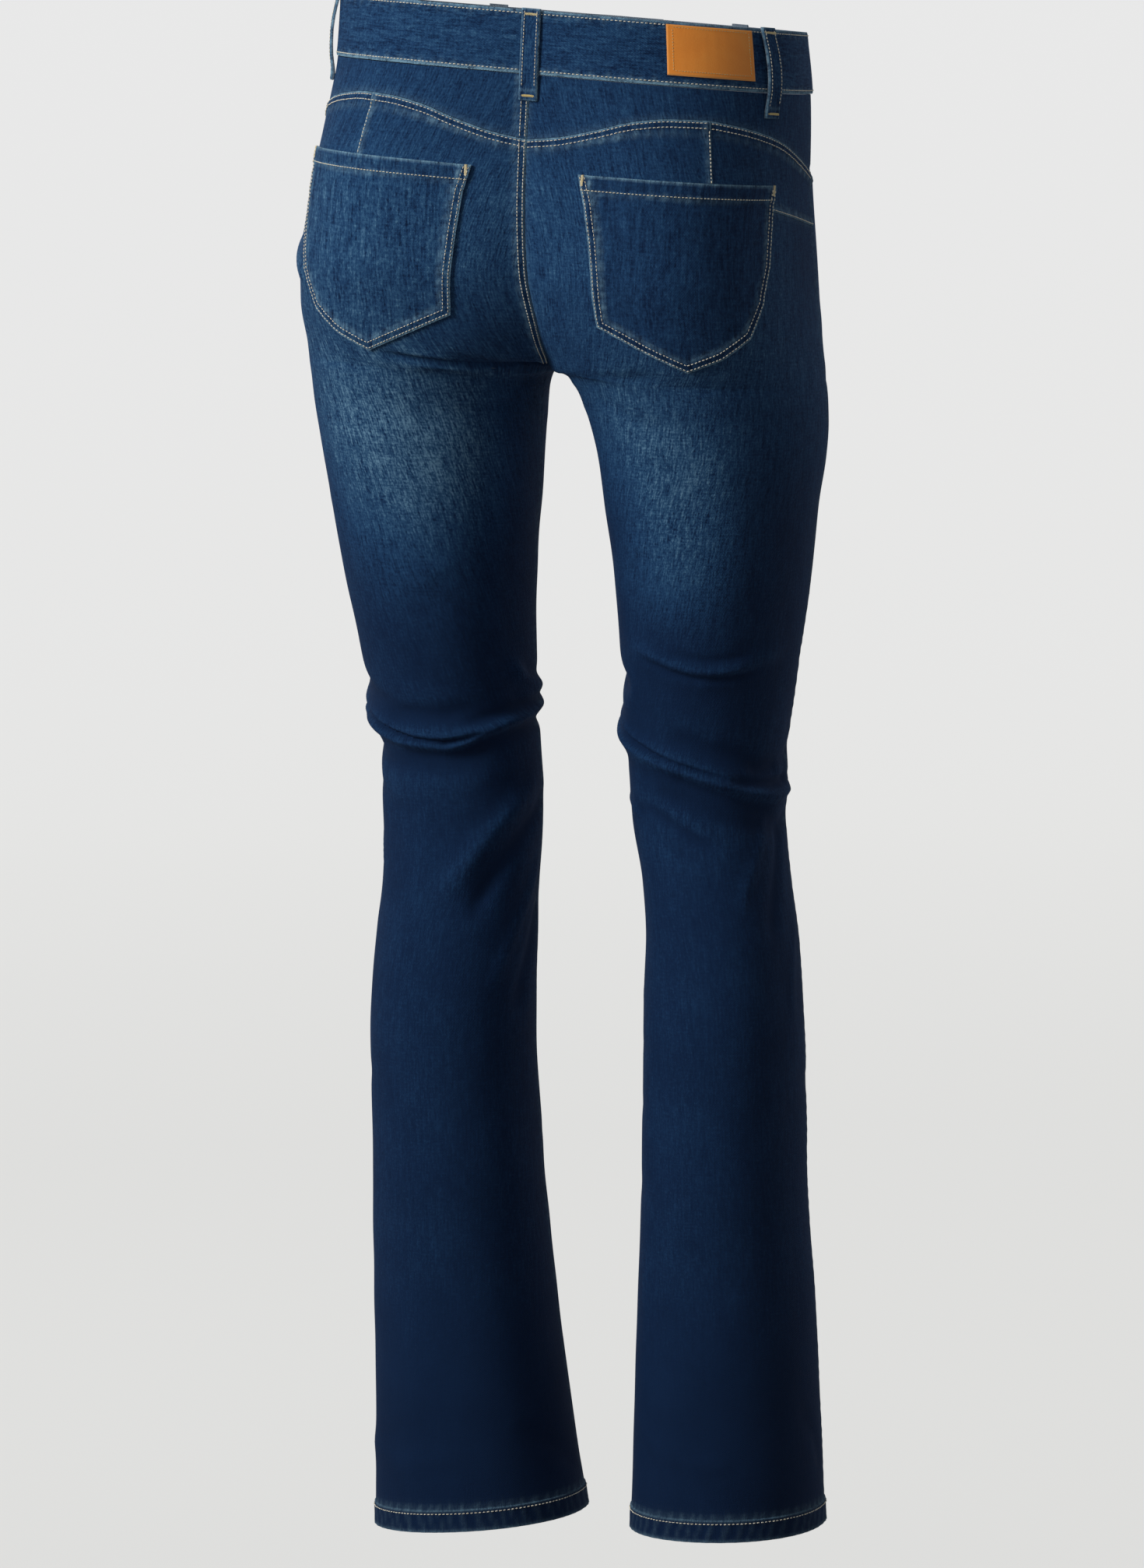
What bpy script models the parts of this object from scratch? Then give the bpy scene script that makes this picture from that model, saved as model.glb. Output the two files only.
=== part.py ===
"""Slim fit jeans, worn form with no wearer.

+Z up, origin in the middle of the waist opening, the wearer faces -Y and the wearer's left is +X.
The cloth follows one outer surface for each side of the body. It is worked out from level sections,
and a place on it is (v, z): v runs 0 to 1 over the front (centre front or inseam to side seam) and
1 to 2 over the back (side seam to centre back or inseam). Tables are in centimetres.
"""

import math

import bpy
import numpy as np

for thing in list(bpy.data.objects):
    bpy.data.objects.remove(thing, do_unlink=True)

CM = 0.01
MM = 0.001

# Cloth and trim sizes
CLOTH = 1.3 * MM
SEAM = 0.15 * MM
CLEAR = 0.3 * MM
BAND_PROUD = 0.9 * MM
BAND_DEPTH = 2.3 * MM
BAND_FOOT = -4.15
PANEL_TOP = -4.2
HEM_TOP = -103.0
HEM_FOOT = -104.5
HEM_PROUD = 0.9 * MM
HEM_INSIDE = 0.8 * MM
POCKET_CLOTH = 1.2 * MM
POCKET_LIP = 0.7 * MM
POCKET_CLEAR = 0.6 * MM
FACING_BACK = 1.9 * MM
LOOP_WIDTH = 1.3
LOOP_CLOTH = 1.8 * MM
PATCH_THICK = 1.5 * MM
PATCH_FROM = 9.3
PATCH_TO = 15.5
PATCH_TOP = -0.2
PATCH_FOOT = -3.5
LAP = 3.0
BUTTON_RADIUS = 8.5 * MM
SIDE_SEAM_FORWARD = 1.7
INSEAM_FORWARD = 1.3
POCKET_LINE = {"left": 10.7, "right": 11.4}
SHORT_SEAM = {"left": 0.45, "right": 0.51}
OPENING_FOOT = -10.4
OPENING_TOP = 0.6

# Pose: the hips drop to the wearer's right, the waist tips forward, the hems tip with the legs
ROLL = math.tan(math.radians(4.1))
TIP = math.tan(math.radians(2.8))
CROTCH = -24.1
CROTCH_Y = 0.5
RISE_BACK_FROM = -13.0
RISE_FRONT_FROM = -13.0
RISE_POWER = 2.4

# height, middle, left half, right half, front, back, centre front, centre back,
# front apex share, back apex share, side, squareness
TORSO = (
    (0.0, -0.40, 16.4, 15.6, -10.5, 10.4, -10.40, 10.25, 0.25, 0.15, -0.3, 2.2),
    (-4.2, -0.30, 16.5, 16.05, -11.0, 10.9, -10.90, 10.60, 0.30, 0.25, -0.3, 2.2),
    (-6.5, -0.25, 16.8, 16.1, -11.2, 11.3, -11.10, 10.80, 0.35, 0.33, -0.3, 2.2),
    (-9.0, -0.20, 17.2, 16.15, -11.2, 11.9, -11.10, 11.10, 0.38, 0.40, -0.3, 2.2),
    (-13.0, -0.15, 17.9, 16.4, -11.1, 12.8, -10.90, 11.40, 0.42, 0.45, -0.3, 2.2),
    (-17.0, -0.15, 18.5, 16.7, -10.7, 13.1, -10.9, 11.4, 0.45, 0.47, -0.2, 2.2),
    (-20.5, -0.35, 18.9, 16.9, -10.1, 12.5, -10.9, 11.4, 0.47, 0.48, 0.1, 2.15),
    (-22.8, -0.15, 18.4, 17.4, -9.7, 11.7, -10.9, 11.4, 0.49, 0.49, 0.3, 2.1),
    (-24.1, 0.50, 17.6, 18.2, -9.3, 11.0, -10.9, 11.4, 0.50, 0.50, 0.5, 2.1),
)

# height, left inner, left outer, right inner, right outer, front, back, side and inner y
LEGS = (
    (-24.1, 0.50, 18.10, -0.50, 17.70, -9.3, 11.0, 0.5),
    (-24.2, 0.95, 18.08, -0.05, 17.72, -9.28, 10.95, 0.5),
    (-24.6, 1.60, 18.02, 0.65, 17.78, -9.2, 10.8, 0.5),
    (-25.6, 2.00, 17.90, 1.25, 17.85, -9.1, 10.5, 0.4),
    (-27.2, 2.20, 17.75, 1.85, 17.90, -9.0, 10.0, 0.4),
    (-29.5, 2.35, 17.45, 2.42, 17.75, -8.8, 9.5, 0.3),
    (-33.2, 2.58, 16.84, 2.90, 17.20, -8.4, 8.7, 0.15),
    (-37.5, 2.93, 16.11, 3.50, 16.69, -8.0, 8.0, 0.0),
    (-41.8, 3.07, 15.27, 3.75, 16.10, -7.6, 7.2, -0.2),
    (-46.1, 3.02, 14.54, 3.90, 15.50, -7.2, 6.2, -0.5),
    (-50.4, 2.79, 13.79, 4.10, 15.05, -6.7, 5.4, -0.6),
    (-54.8, 2.55, 13.55, 4.50, 15.00, -6.2, 5.3, -0.4),
    (-59.1, 2.55, 13.25, 5.50, 15.50, -5.6, 6.1, 0.3),
    (-63.5, 2.45, 13.50, 6.00, 16.32, -5.0, 7.2, 1.1),
    (-70.0, 2.38, 13.70, 6.05, 16.93, -4.5, 8.2, 1.85),
    (-78.8, 1.87, 13.51, 5.95, 17.10, -4.6, 8.3, 1.85),
    (-87.6, 1.17, 13.67, 5.50, 17.58, -5.2, 7.8, 1.3),
    (-96.4, 0.13, 13.69, 5.16, 17.92, -5.6, 7.6, 1.0),
    (-104.8, -1.10, 13.80, 4.85, 18.25, -6.0, 7.5, 0.8),
)

# distance from centre back, height of the yoke seam
YOKE = (
    (0.0, -8.3), (2.0, -8.0), (4.5, -7.35), (7.0, -6.6), (9.4, -6.25), (11.5, -6.2),
    (13.5, -6.4), (15.5, -6.75), (17.7, -7.3), (20.4, -8.35), (23.0, -9.4), (27.0, -10.9),
)

# distance from centre back, height of the seam under the side insert
INSERT_FOOT = (
    (0.0, -11.9), (6.0, -11.3), (12.5, -11.3), (15.0, -11.6), (18.6, -12.3),
    (22.0, -13.0), (27.0, -13.9),
)

# rows of every leg panel: height at the inner line, height at the side seam
ROWS_RISE = (
    (-14.5, -15.3), (-17.0, -16.8), (-19.2, -18.3), (-21.0, -19.8), (-22.3, -21.2),
    (-23.2, -22.6), (-23.75, -24.0), (-24.02, -25.3),
)
ROWS_LEG = (
    (-24.1, -26.6), (-24.3, -27.9), (-24.9, -29.3), (-26.0, -30.8), (-27.6, -32.4),
    (-29.6, -34.2), (-32.0, -36.0), (-34.5, -38.0), (-37.0, -39.8), (-39.3, -41.3),
    (-41.3, -42.7), (-43.0, -44.0), (-44.3, -45.0), (-45.4, -46.0), (-46.4, -47.0),
    (-47.4, -47.9), (-48.4, -48.8), (-49.4, -49.7), (-50.4, -50.6), (-51.4, -51.5),
    (-52.4, -52.4), (-53.4, -53.4), (-54.5, -54.5), (-55.8, -55.8), (-57.4, -57.4),
    (-59.4, -59.4), (-62.0, -62.0), (-65.0, -65.0), (-68.5, -68.5), (-72.0, -72.0),
    (-75.5, -75.5), (-79.0, -79.0), (-82.5, -82.5), (-86.0, -86.0), (-89.5, -89.5),
    (-93.0, -93.0), (-96.5, -96.5), (-100.0, -100.0), (-102.8, -102.8),
    (-103.0, -103.0), (-104.5, -104.5),
)

# back pocket, seen flat: distance outward from the pocket line, height
POCKET_INNER = ((-7.4, -10.2), (-6.9, -12.0), (-6.5, -14.5), (-6.2, -17.0), (-5.9, -20.1))
POCKET_OUTER = ((7.6, -10.2), (7.5, -12.8), (7.25, -15.6), (6.5, -18.2), (4.9, -20.5))
POCKET_BOTTOM = ((-5.9, -20.1), (-3.0, -21.5), (0.0, -22.9), (2.5, -21.95), (4.9, -20.5))

# side, (v, height) along the fold, height of it in mm, half width in cm
FOLDS = (
    ("left", ((0.9, -45.4), (1.05, -46.4), (1.2, -48.4), (1.4, -49.6), (1.6, -49.3), (1.8, -48.2),
              (2.0, -47.4)), 4.4, 1.0),
    ("left", ((1.02, -43.8), (1.2, -46.0), (1.4, -47.6), (1.55, -47.9), (1.75, -47.0)), -2.6, 0.9),
    ("left", ((0.95, -48.2), (1.1, -49.6), (1.3, -51.4), (1.55, -51.6), (1.8, -50.4)), -2.6, 1.0),
    ("left", ((1.88, -52.8), (1.7, -55.7), (1.6, -58.0), (1.5, -61.0)), 2.6, 1.2),
    ("left", ((1.78, -44.4), (1.96, -46.0), (2.25, -46.6)), 3.4, 0.9),
    ("left", ((1.12, -16.2), (1.28, -17.6), (1.4, -19.0)), 3.0, 0.9),
    ("left", ((1.55, -22.7), (1.65, -23.8), (1.78, -24.1), (1.9, -24.1)), -1.6, 0.6),
    ("right", ((1.55, -23.4), (1.7, -24.0), (1.88, -24.0)), -1.4, 0.6),
    ("right", ((1.75, -42.0), (1.58, -43.6), (1.44, -44.4), (1.28, -43.4), (1.12, -42.2)), 2.2, 1.0),
    ("right", ((2.2, -42.8), (1.98, -43.5), (1.85, -44.8), (1.7, -46.0)), -4.2, 0.9),
    ("right", ((2.25, -46.0), (1.98, -47.6), (1.84, -48.9), (1.66, -50.2), (1.5, -51.0), (1.34, -52.3),
               (1.17, -52.9), (0.9, -52.0)), 4.4, 1.0),
    ("right", ((1.6, -48.4), (1.42, -49.6), (1.25, -50.8), (1.05, -50.6), (0.88, -49.4)), -3.0, 0.9),
    ("right", ((1.7, -52.2), (1.5, -53.2), (1.3, -54.6), (1.1, -55.2), (0.9, -54.4)), -3.2, 0.9),
    ("right", ((1.76, -53.6), (1.62, -55.0), (1.46, -57.0)), -1.8, 0.9),
    ("left", ((0.85, -43.5), (0.65, -45.6), (0.4, -46.2), (0.15, -44.8)), -2.4, 1.1),
    ("left", ((0.85, -49.5), (0.6, -50.4), (0.3, -49.8)), 2.2, 1.2),
    ("right", ((0.85, -46.6), (0.6, -48.2), (0.3, -47.6)), -2.6, 1.1),
    ("right", ((0.8, -52.6), (0.6, -53.8), (0.25, -52.8)), 2.2, 1.2),
)


def smooth(low, high, value):
    t = np.clip((value - low) / (high - low), 0.0, 1.0)
    return t * t * (3.0 - 2.0 * t)


def curve(points, values):
    """A smooth curve through the rows of a table that makes no overshoot between them."""
    x = np.asarray(points, float)
    y = np.asarray(values, float)
    if x[0] > x[-1]:
        x, y = x[::-1], y[::-1]
    step = np.diff(x)
    slope = np.diff(y) / step
    same = slope[:-1] * slope[1:] > 0
    first, second = 2 * step[1:] + step[:-1], step[1:] + 2 * step[:-1]
    safe_a = np.where(same, slope[:-1], 1.0)
    safe_b = np.where(same, slope[1:], 1.0)
    inner = np.where(same, (first + second) / (first / safe_a + second / safe_b), 0.0)
    tangent = np.concatenate([[slope[0]], inner, [slope[-1]]])

    def at(value):
        value = np.clip(value, x[0], x[-1])
        k = np.clip(np.searchsorted(x, value) - 1, 0, len(step) - 1)
        t = (value - x[k]) / step[k]
        a = (1 + 2 * t) * (1 - t) ** 2 * y[k] + t * (1 - t) ** 2 * step[k] * tangent[k]
        return a + t * t * (3 - 2 * t) * y[k + 1] + t * t * (t - 1) * step[k] * tangent[k + 1]

    return at


def columns(table):
    rows = np.array(table, float)
    return [curve(rows[:, 0], rows[:, k]) for k in range(1, rows.shape[1])]


TORSO_AT = columns(TORSO)
LEGS_AT = columns(LEGS)
YOKE_AT = columns(YOKE)[0]
INSERT_FOOT_AT = columns(INSERT_FOOT)[0]

# Inner edges of the legs leave the crotch like an arch, so they are read against the root of the drop
_legs = np.array(LEGS)
_root = np.sqrt(CROTCH - _legs[:, 0])
INNER_AT = {"left": curve(_root, _legs[:, 1]), "right": curve(_root, _legs[:, 3])}
SIGN = {"left": 1.0, "right": -1.0}
ARC = 36
HALF = 65


def rise(z, start, start_y):
    t = np.clip((start - z) / (start - CROTCH), 0.0, 1.0)
    return CROTCH_Y + (start_y - CROTCH_Y) * (1.0 - t**RISE_POWER) ** (1.0 / RISE_POWER)


def quarter(centre, reach, angle, power):
    """Points of a rounded-square arc: angle 0 at the apex, a right angle at the side."""
    x = centre[0] + reach[0] * np.sin(angle) ** (2.0 / power)
    y = centre[1] + reach[1] * np.cos(angle) ** (2.0 / power)
    return np.stack([x, y], axis=-1)


def section(side, z):
    """The level section of one side: (path of points, arc length at the widest point, is a leg)."""
    if z > CROTCH:
        middle, left, right, front, back, cf, cb, share_f, share_b, side_y, power = [f(z) for f in TORSO_AT]
        out = left if side == "left" else right
        cf = rise(z, RISE_FRONT_FROM, cf) if z < RISE_FRONT_FROM else cf
        cb = rise(z, RISE_BACK_FROM, cb) if z < RISE_BACK_FROM else cb
        mid_y = side_y + (CROTCH_Y - side_y) * smooth(-10.0, CROTCH, z)
        apex_f, apex_b = share_f * out, share_b * out
        ratio_f = (mid_y - cf) / (mid_y - front)
        ratio_b = (cb - mid_y) / (back - mid_y)
        reach_f = apex_f / (1.0 - max(ratio_f, 0.0) ** power) ** (1.0 / power)
        reach_b = apex_b / (1.0 - max(ratio_b, 0.0) ** power) ** (1.0 / power)
        end_f = math.asin(min(1.0, (apex_f / reach_f) ** (power / 2.0)))
        end_b = math.asin(min(1.0, (apex_b / reach_b) ** (power / 2.0)))
        start = SIGN[side] * middle
    else:
        front, back, side_y = [LEGS_AT[k](z) for k in (4, 5, 6)]
        outer = LEGS_AT[1 if side == "left" else 3](z)
        inner = INNER_AT[side](math.sqrt(max(CROTCH - z, 0.0)))
        start = SIGN[side] * TORSO_AT[0](CROTCH)
        out = outer - start
        apex_f = apex_b = 0.5 * (outer + inner) - start
        reach_f = reach_b = apex_f - (inner - start)
        end_f = end_b = math.pi / 2
        mid_y = side_y
        power = 2.1
    # Angles bunch up toward both ends, where a rounded square turns fastest
    share = 0.5 - 0.5 * np.cos(np.linspace(0.0, math.pi, ARC))
    right_angle = math.pi / 2
    front_in = quarter((apex_f, mid_y), (-reach_f, front - mid_y), end_f * share[::-1], power)
    front_out = quarter((apex_f, side_y), (out - apex_f, front - side_y), right_angle * share, power)
    back_out = quarter((apex_b, side_y), (out - apex_b, back - side_y), right_angle * share[::-1], power)
    back_in = quarter((apex_b, mid_y), (-reach_b, back - mid_y), end_b * share, power)
    path = np.concatenate([front_in, front_out[1:], back_out[1:], back_in[1:]])
    path[:, 0] += start
    arc = np.concatenate([[0.0], np.cumsum(np.hypot(*np.diff(path, axis=0).T))])
    return path, arc, arc[2 * ARC - 2], z <= CROTCH


def levels():
    above = np.linspace(0.0, 1.0, 60) ** 2.2 * 9.0
    rest = np.arange(9.25, -CROTCH * 1.0 + 0.6, 0.25)
    below = np.linspace(0.0, 1.0, 30)[1:] ** 2 * 4.0
    legs = np.arange(4.25, 81.0, 0.25)
    up = CROTCH + np.concatenate([above, rest])
    return np.concatenate([up[::-1], CROTCH - below, CROTCH - legs])


LEVELS = levels()


def dense(side):
    """Points of the outer surface, at every level and at 2 * HALF - 1 places round it."""
    points = np.zeros((len(LEVELS), 2 * HALF - 1, 3))
    lengths = np.zeros((len(LEVELS), 2))
    for k, z in enumerate(LEVELS):
        path, arc, widest, leg = section(side, min(z, 0.0))
        total = arc[-1]
        seam = widest - SIDE_SEAM_FORWARD
        first = INSEAM_FORWARD * float(smooth(0.0, 9.0, CROTCH - z)) if leg else 0.0
        front = np.linspace(first, seam, HALF)
        back = np.linspace(seam, total + first, HALF)[1:]
        place = np.concatenate([front, back])
        place = np.where(place > total, place - total, place)
        points[k, :, 0] = SIGN[side] * np.interp(place, arc, path[:, 0])
        points[k, :, 1] = np.interp(place, arc, path[:, 1])
        points[k, :, 2] = z
        lengths[k] = seam - first, total + first - seam
    points = pose(points, side)
    return points, normals_of(points, side), lengths


def pose(points, side):
    x, y, z = points[..., 0], points[..., 1], points[..., 2]
    roll = ROLL * (1.0 - smooth(-8.0, -48.0, z))
    tip = TIP * (1.0 - smooth(0.0, -14.0, z))
    if side == "left":
        tilt = -0.10 * (x - 6.4)
    else:
        tilt = 0.5 - 0.035 * (x + 11.6)
    hem = smooth(-82.0, -104.5, z) * tilt
    moved = points.copy()
    moved[..., 2] = z + roll * x + tip * y + hem
    return moved


def normals_of(points, side):
    along = np.gradient(points, axis=1)
    down = np.gradient(points, axis=0)
    normal = np.cross(along, down)
    normal /= np.maximum(np.linalg.norm(normal, axis=2, keepdims=True), 1e-12)
    # Points outward: at the side seam it looks away from the middle
    middle = points[:, HALF - 1, 0] * normal[:, HALF - 1, 0]
    normal *= np.where(middle > 0, 1.0, -1.0)[:, None, None]
    legs = LEVELS <= CROTCH
    mean = normal[legs, 0] + normal[legs, -1]
    mean /= np.linalg.norm(mean, axis=1, keepdims=True)
    normal[legs, 0] = mean
    normal[legs, -1] = mean
    return normal


SURFACE = {side: dense(side) for side in SIGN}


def lengths_at(side, z):
    table = SURFACE[side][2]
    return [np.interp(-z, -LEVELS, table[:, k]) for k in (0, 1)]


def blend(grid, v, z):
    k = np.interp(-z, -LEVELS, np.arange(len(LEVELS)))
    j = np.clip(v, 0.0, 2.0) * (HALF - 1)
    k0 = np.clip(k.astype(int), 0, grid.shape[0] - 2)
    j0 = np.clip(j.astype(int), 0, grid.shape[1] - 2)
    a, b = (k - k0)[..., None], (j - j0)[..., None]
    top = grid[k0, j0] * (1 - b) + grid[k0, j0 + 1] * b
    foot = grid[k0 + 1, j0] * (1 - b) + grid[k0 + 1, j0 + 1] * b
    return top * (1 - a) + foot * a


def across(side, v, z):
    """Distance round the cloth from the side seam, back positive."""
    front, back = lengths_at(side, z)
    w = np.where(v < 1.0, (v - 1.0) * front, (v - 1.0) * back)
    return np.where(v > 2.0, back + (v - 2.0) * front, w)


def fold_height(side, v, z):
    """Height of the folds in mm at this place."""
    w = across(side, v, z)
    total = np.zeros(np.shape(w))
    for where, line, height, half in FOLDS:
        if where != side:
            continue
        lv = np.array([p[0] for p in line])
        lz = np.array([p[1] for p in line])
        lw = across(side, lv, lz)
        best = np.full(np.shape(w), 1e9)
        taper = np.zeros(np.shape(w))
        count = len(line) - 1
        # A fold that runs past the inseam goes on at the other end of the round
        whole = sum(lengths_at(side, z))
        for k, turn in [(k, turn) for k in range(count) for turn in ((0.0, 1.0) if lv.max() > 2 else (0.0,))]:
            dw, dz = lw[k + 1] - lw[k], lz[k + 1] - lz[k]
            here = w + turn * whole
            t = np.clip(((here - lw[k]) * dw + (z - lz[k]) * dz) / (dw * dw + dz * dz), 0.0, 1.0)
            d = np.hypot(here - lw[k] - t * dw, z - lz[k] - t * dz)
            share = (k + t) / count
            fade = smooth(0.0, 0.22, share) * (1.0 - smooth(0.78, 1.0, share))
            taper = np.where(d < best, fade, taper)
            best = np.minimum(best, d)
        total = total + height * taper * np.exp(-0.5 * (best / (0.6 * half)) ** 2)
    return total


def place(side, v, z, out=0.0):
    """Points in metres at (v, z), moved out from the cloth's outer surface."""
    v, z = np.broadcast_arrays(np.asarray(v, float), np.asarray(z, float))
    points, normals, _ = SURFACE[side]
    point = blend(points, v, z)
    normal = blend(normals, v, z)
    normal /= np.linalg.norm(normal, axis=-1, keepdims=True)
    lift = fold_height(side, v, z) * MM + out
    return point * CM + normal * np.asarray(lift)[..., None]


def material(name, colour, rough=0.8, metal=0.0):
    found = bpy.data.materials.new(name)
    found.use_nodes = True
    shader = found.node_tree.nodes["Principled BSDF"]
    shader.inputs["Base Color"].default_value = (*colour, 1.0)
    shader.inputs["Roughness"].default_value = rough
    shader.inputs["Metallic"].default_value = metal
    return found


def solid(name, verts, faces, colour, rough=0.8, metal=0.0):
    """One closed body facing out, with its own material."""
    verts = np.asarray(verts, float)
    tris = []
    for face in faces:
        tris += [(face[0], face[k], face[k + 1]) for k in range(1, len(face) - 1)]
    t = verts[np.array(tris)]
    if np.einsum("ij,ij->", t[:, 0], np.cross(t[:, 1], t[:, 2])) < 0:
        faces = [face[::-1] for face in faces]
    mesh = bpy.data.meshes.new(name)
    mesh.from_pydata([tuple(p) for p in verts], [], [tuple(int(i) for i in f) for f in faces])
    mesh.materials.append(material(name + "_finish", colour, rough, metal))
    mesh.polygons.foreach_set("use_smooth", [True] * len(mesh.polygons))
    mesh.update()
    made = bpy.data.objects.new(name, mesh)
    bpy.context.scene.collection.objects.link(made)
    return made


def wall(name, outer, inner, colour, cells=None, rough=0.8, metal=0.0):
    """A sheet with thickness from two grids of points: rows by columns, with the cells that it keeps."""
    rows, cols = outer.shape[:2]
    if cells is None:
        cells = np.ones((rows - 1, cols - 1), bool)
    number = -np.ones((rows, cols), int)
    order = []
    quads = []
    for i in range(rows - 1):
        for j in range(cols - 1):
            if not cells[i, j]:
                continue
            corner = ((i, j), (i, j + 1), (i + 1, j + 1), (i + 1, j))
            for c in corner:
                if number[c] < 0:
                    number[c] = len(order)
                    order.append(c)
            quads.append([number[c] for c in corner])
    n = len(order)
    index = tuple(np.array(order).T)
    verts = np.concatenate([outer[index], inner[index]])
    edges = {}
    for q in quads:
        for k in range(4):
            a, b = q[k], q[(k + 1) % 4]
            if (b, a) in edges:
                del edges[(b, a)]
            else:
                edges[(a, b)] = True
    faces = [tuple(q) for q in quads]
    faces += [tuple(i + n for i in q[::-1]) for q in quads]
    faces += [(b, a, a + n, b + n) for a, b in edges]
    return solid(name, verts, faces, colour, rough, metal)


DENIM = (0.026, 0.055, 0.125)
DENIM_DARK = (0.018, 0.036, 0.085)
LEATHER = (0.55, 0.21, 0.05)
METAL = (0.55, 0.50, 0.42)
TAPE = (0.03, 0.04, 0.08)

# Columns over the back from centre back to the side seam, with one on the short seam
BACK_SHARE = {side: np.array([0.0, 0.07, 0.16, 0.26, 0.36, SHORT_SEAM[side], 0.6, 0.7, 0.8, 0.9, 1.0])
              for side in SIGN}
SHORT_AT = 5
FRONT_SHARE = np.linspace(0.0, 1.0, 9)


def panel_rows(share, pairs):
    """Heights of the rows: share 0 at the inner line and 1 at the side seam."""
    pairs = np.array(pairs)
    away = (1.0 - share) ** 1.6
    return pairs[:, 1:2] + (pairs[:, 0:1] - pairs[:, 1:2]) * away[None, :]


def from_back(side, share, z):
    """v at a share of the way from centre back to the side seam."""
    return 2.0 - share + 0.0 * z


def seam_shift(side, z, metres):
    """A distance along the back or the front as a difference of v."""
    front, back = lengths_at(side, z)
    return metres / CM / front, metres / CM / back


def back_grid(side):
    share = BACK_SHARE[side]
    away = share * np.interp(-8.0, -LEVELS, SURFACE[side][2][:, 1])
    yoke = YOKE_AT(away)
    foot = INSERT_FOOT_AT(away)
    top = np.full(len(share), PANEL_TOP)
    rows = [top + (yoke - top) * t for t in (0.0, 0.34, 0.67, 1.0)]
    rows += [yoke + (foot - yoke) * t for t in (0.34, 0.67, 1.0)]
    rows = np.array(rows)
    rest = panel_rows(share, ROWS_RISE + ROWS_LEG)
    z = np.concatenate([rows, rest])
    v = np.broadcast_to(2.0 - share, z.shape).copy()
    return v, z


def lift_at(z, proud=HEM_PROUD):
    """How far the hem band stands out."""
    return np.where(z <= HEM_TOP + 0.001, proud, 0.0)


def sheet(name, side, v, z, cells, colour, edges, out=0.0, thick=CLOTH):
    """A cloth panel on the surface: edges names the grid lines that are seams and the way to pull each."""
    v, z = v.copy(), z.copy()
    gap = SEAM / CM
    front, back = lengths_at(side, z)
    length = np.where(v > 1.0, back, front)
    dv, dz = np.zeros(v.shape), np.zeros(z.shape)
    for rows, cols, way in edges:
        if way == "up":
            dz[rows, cols] = gap
        elif way == "down":
            dz[rows, cols] = -gap
        elif way == "more":
            dv[rows, cols] = (gap / length)[rows, cols]
        elif way == "less":
            dv[rows, cols] = -(gap / length)[rows, cols]
    v, z = v + dv, z + dz
    hem = lift_at(z)
    inside = lift_at(z, HEM_INSIDE)
    outer = place(side, v, z, out + hem)
    inner = place(side, v, z, out - thick - inside)
    return wall(name, outer, inner, colour, cells)


def make_back(side):
    v, z = back_grid(side)
    rows, cols = v.shape
    yoke_row, foot_row = 3, 6
    every = slice(None)
    cells = np.zeros((rows - 1, cols - 1), bool)
    cells[:yoke_row] = True
    sheet("yoke_" + side, side, v, z, cells, DENIM, (
        (yoke_row, every, "up"), (every, 0, "less"), (every, cols - 1, "more")))
    cells = np.zeros((rows - 1, cols - 1), bool)
    cells[yoke_row:foot_row, SHORT_AT:] = True
    sheet("side_insert_" + side, side, v, z, cells, DENIM, (
        (yoke_row, every, "down"), (foot_row, every, "up"), (every, SHORT_AT, "less"),
        (every, cols - 1, "more")))
    cells = np.zeros((rows - 1, cols - 1), bool)
    cells[yoke_row:foot_row, :SHORT_AT] = True
    cells[foot_row:] = True
    sheet("back_leg_" + side, side, v, z, cells, DENIM, (
        (yoke_row, slice(0, SHORT_AT + 1), "down"), (foot_row, slice(SHORT_AT, cols), "down"),
        (slice(yoke_row, foot_row + 1), SHORT_AT, "more"), (every, 0, "less"),
        (every, cols - 1, "more")))


def opening(z):
    """v of the slash pocket opening at this height, 1 below it."""
    t = np.clip((z - OPENING_FOOT) / (PANEL_TOP - OPENING_FOOT), 0.0, 1.0)
    return 1.0 - (1.0 - OPENING_TOP) * (1.0 - (1.0 - t) ** 2.2) ** (1.0 / 2.2)


def front_grid(side):
    share = FRONT_SHARE
    rise_rows = ((-14.3, -13.9), (-15.8, -15.3), (-17.6, -16.8), (-19.4, -18.3), (-21.0, -19.8),
                 (-22.3, -21.2), (-23.2, -22.6), (-23.75, -24.0), (-24.02, -25.3))
    upper = ((PANEL_TOP, PANEL_TOP), (-6.0, -6.0), (-7.6, -7.6), (-8.9, -8.9), (-9.8, -9.8),
             (-10.25, -10.25), (OPENING_FOOT, OPENING_FOOT), (-12.4, -12.2))
    z = panel_rows(share, upper + rise_rows + ROWS_LEG)
    v = share[None, :] * np.where(z > OPENING_FOOT, opening(z), 1.0)
    return v, z


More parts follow.
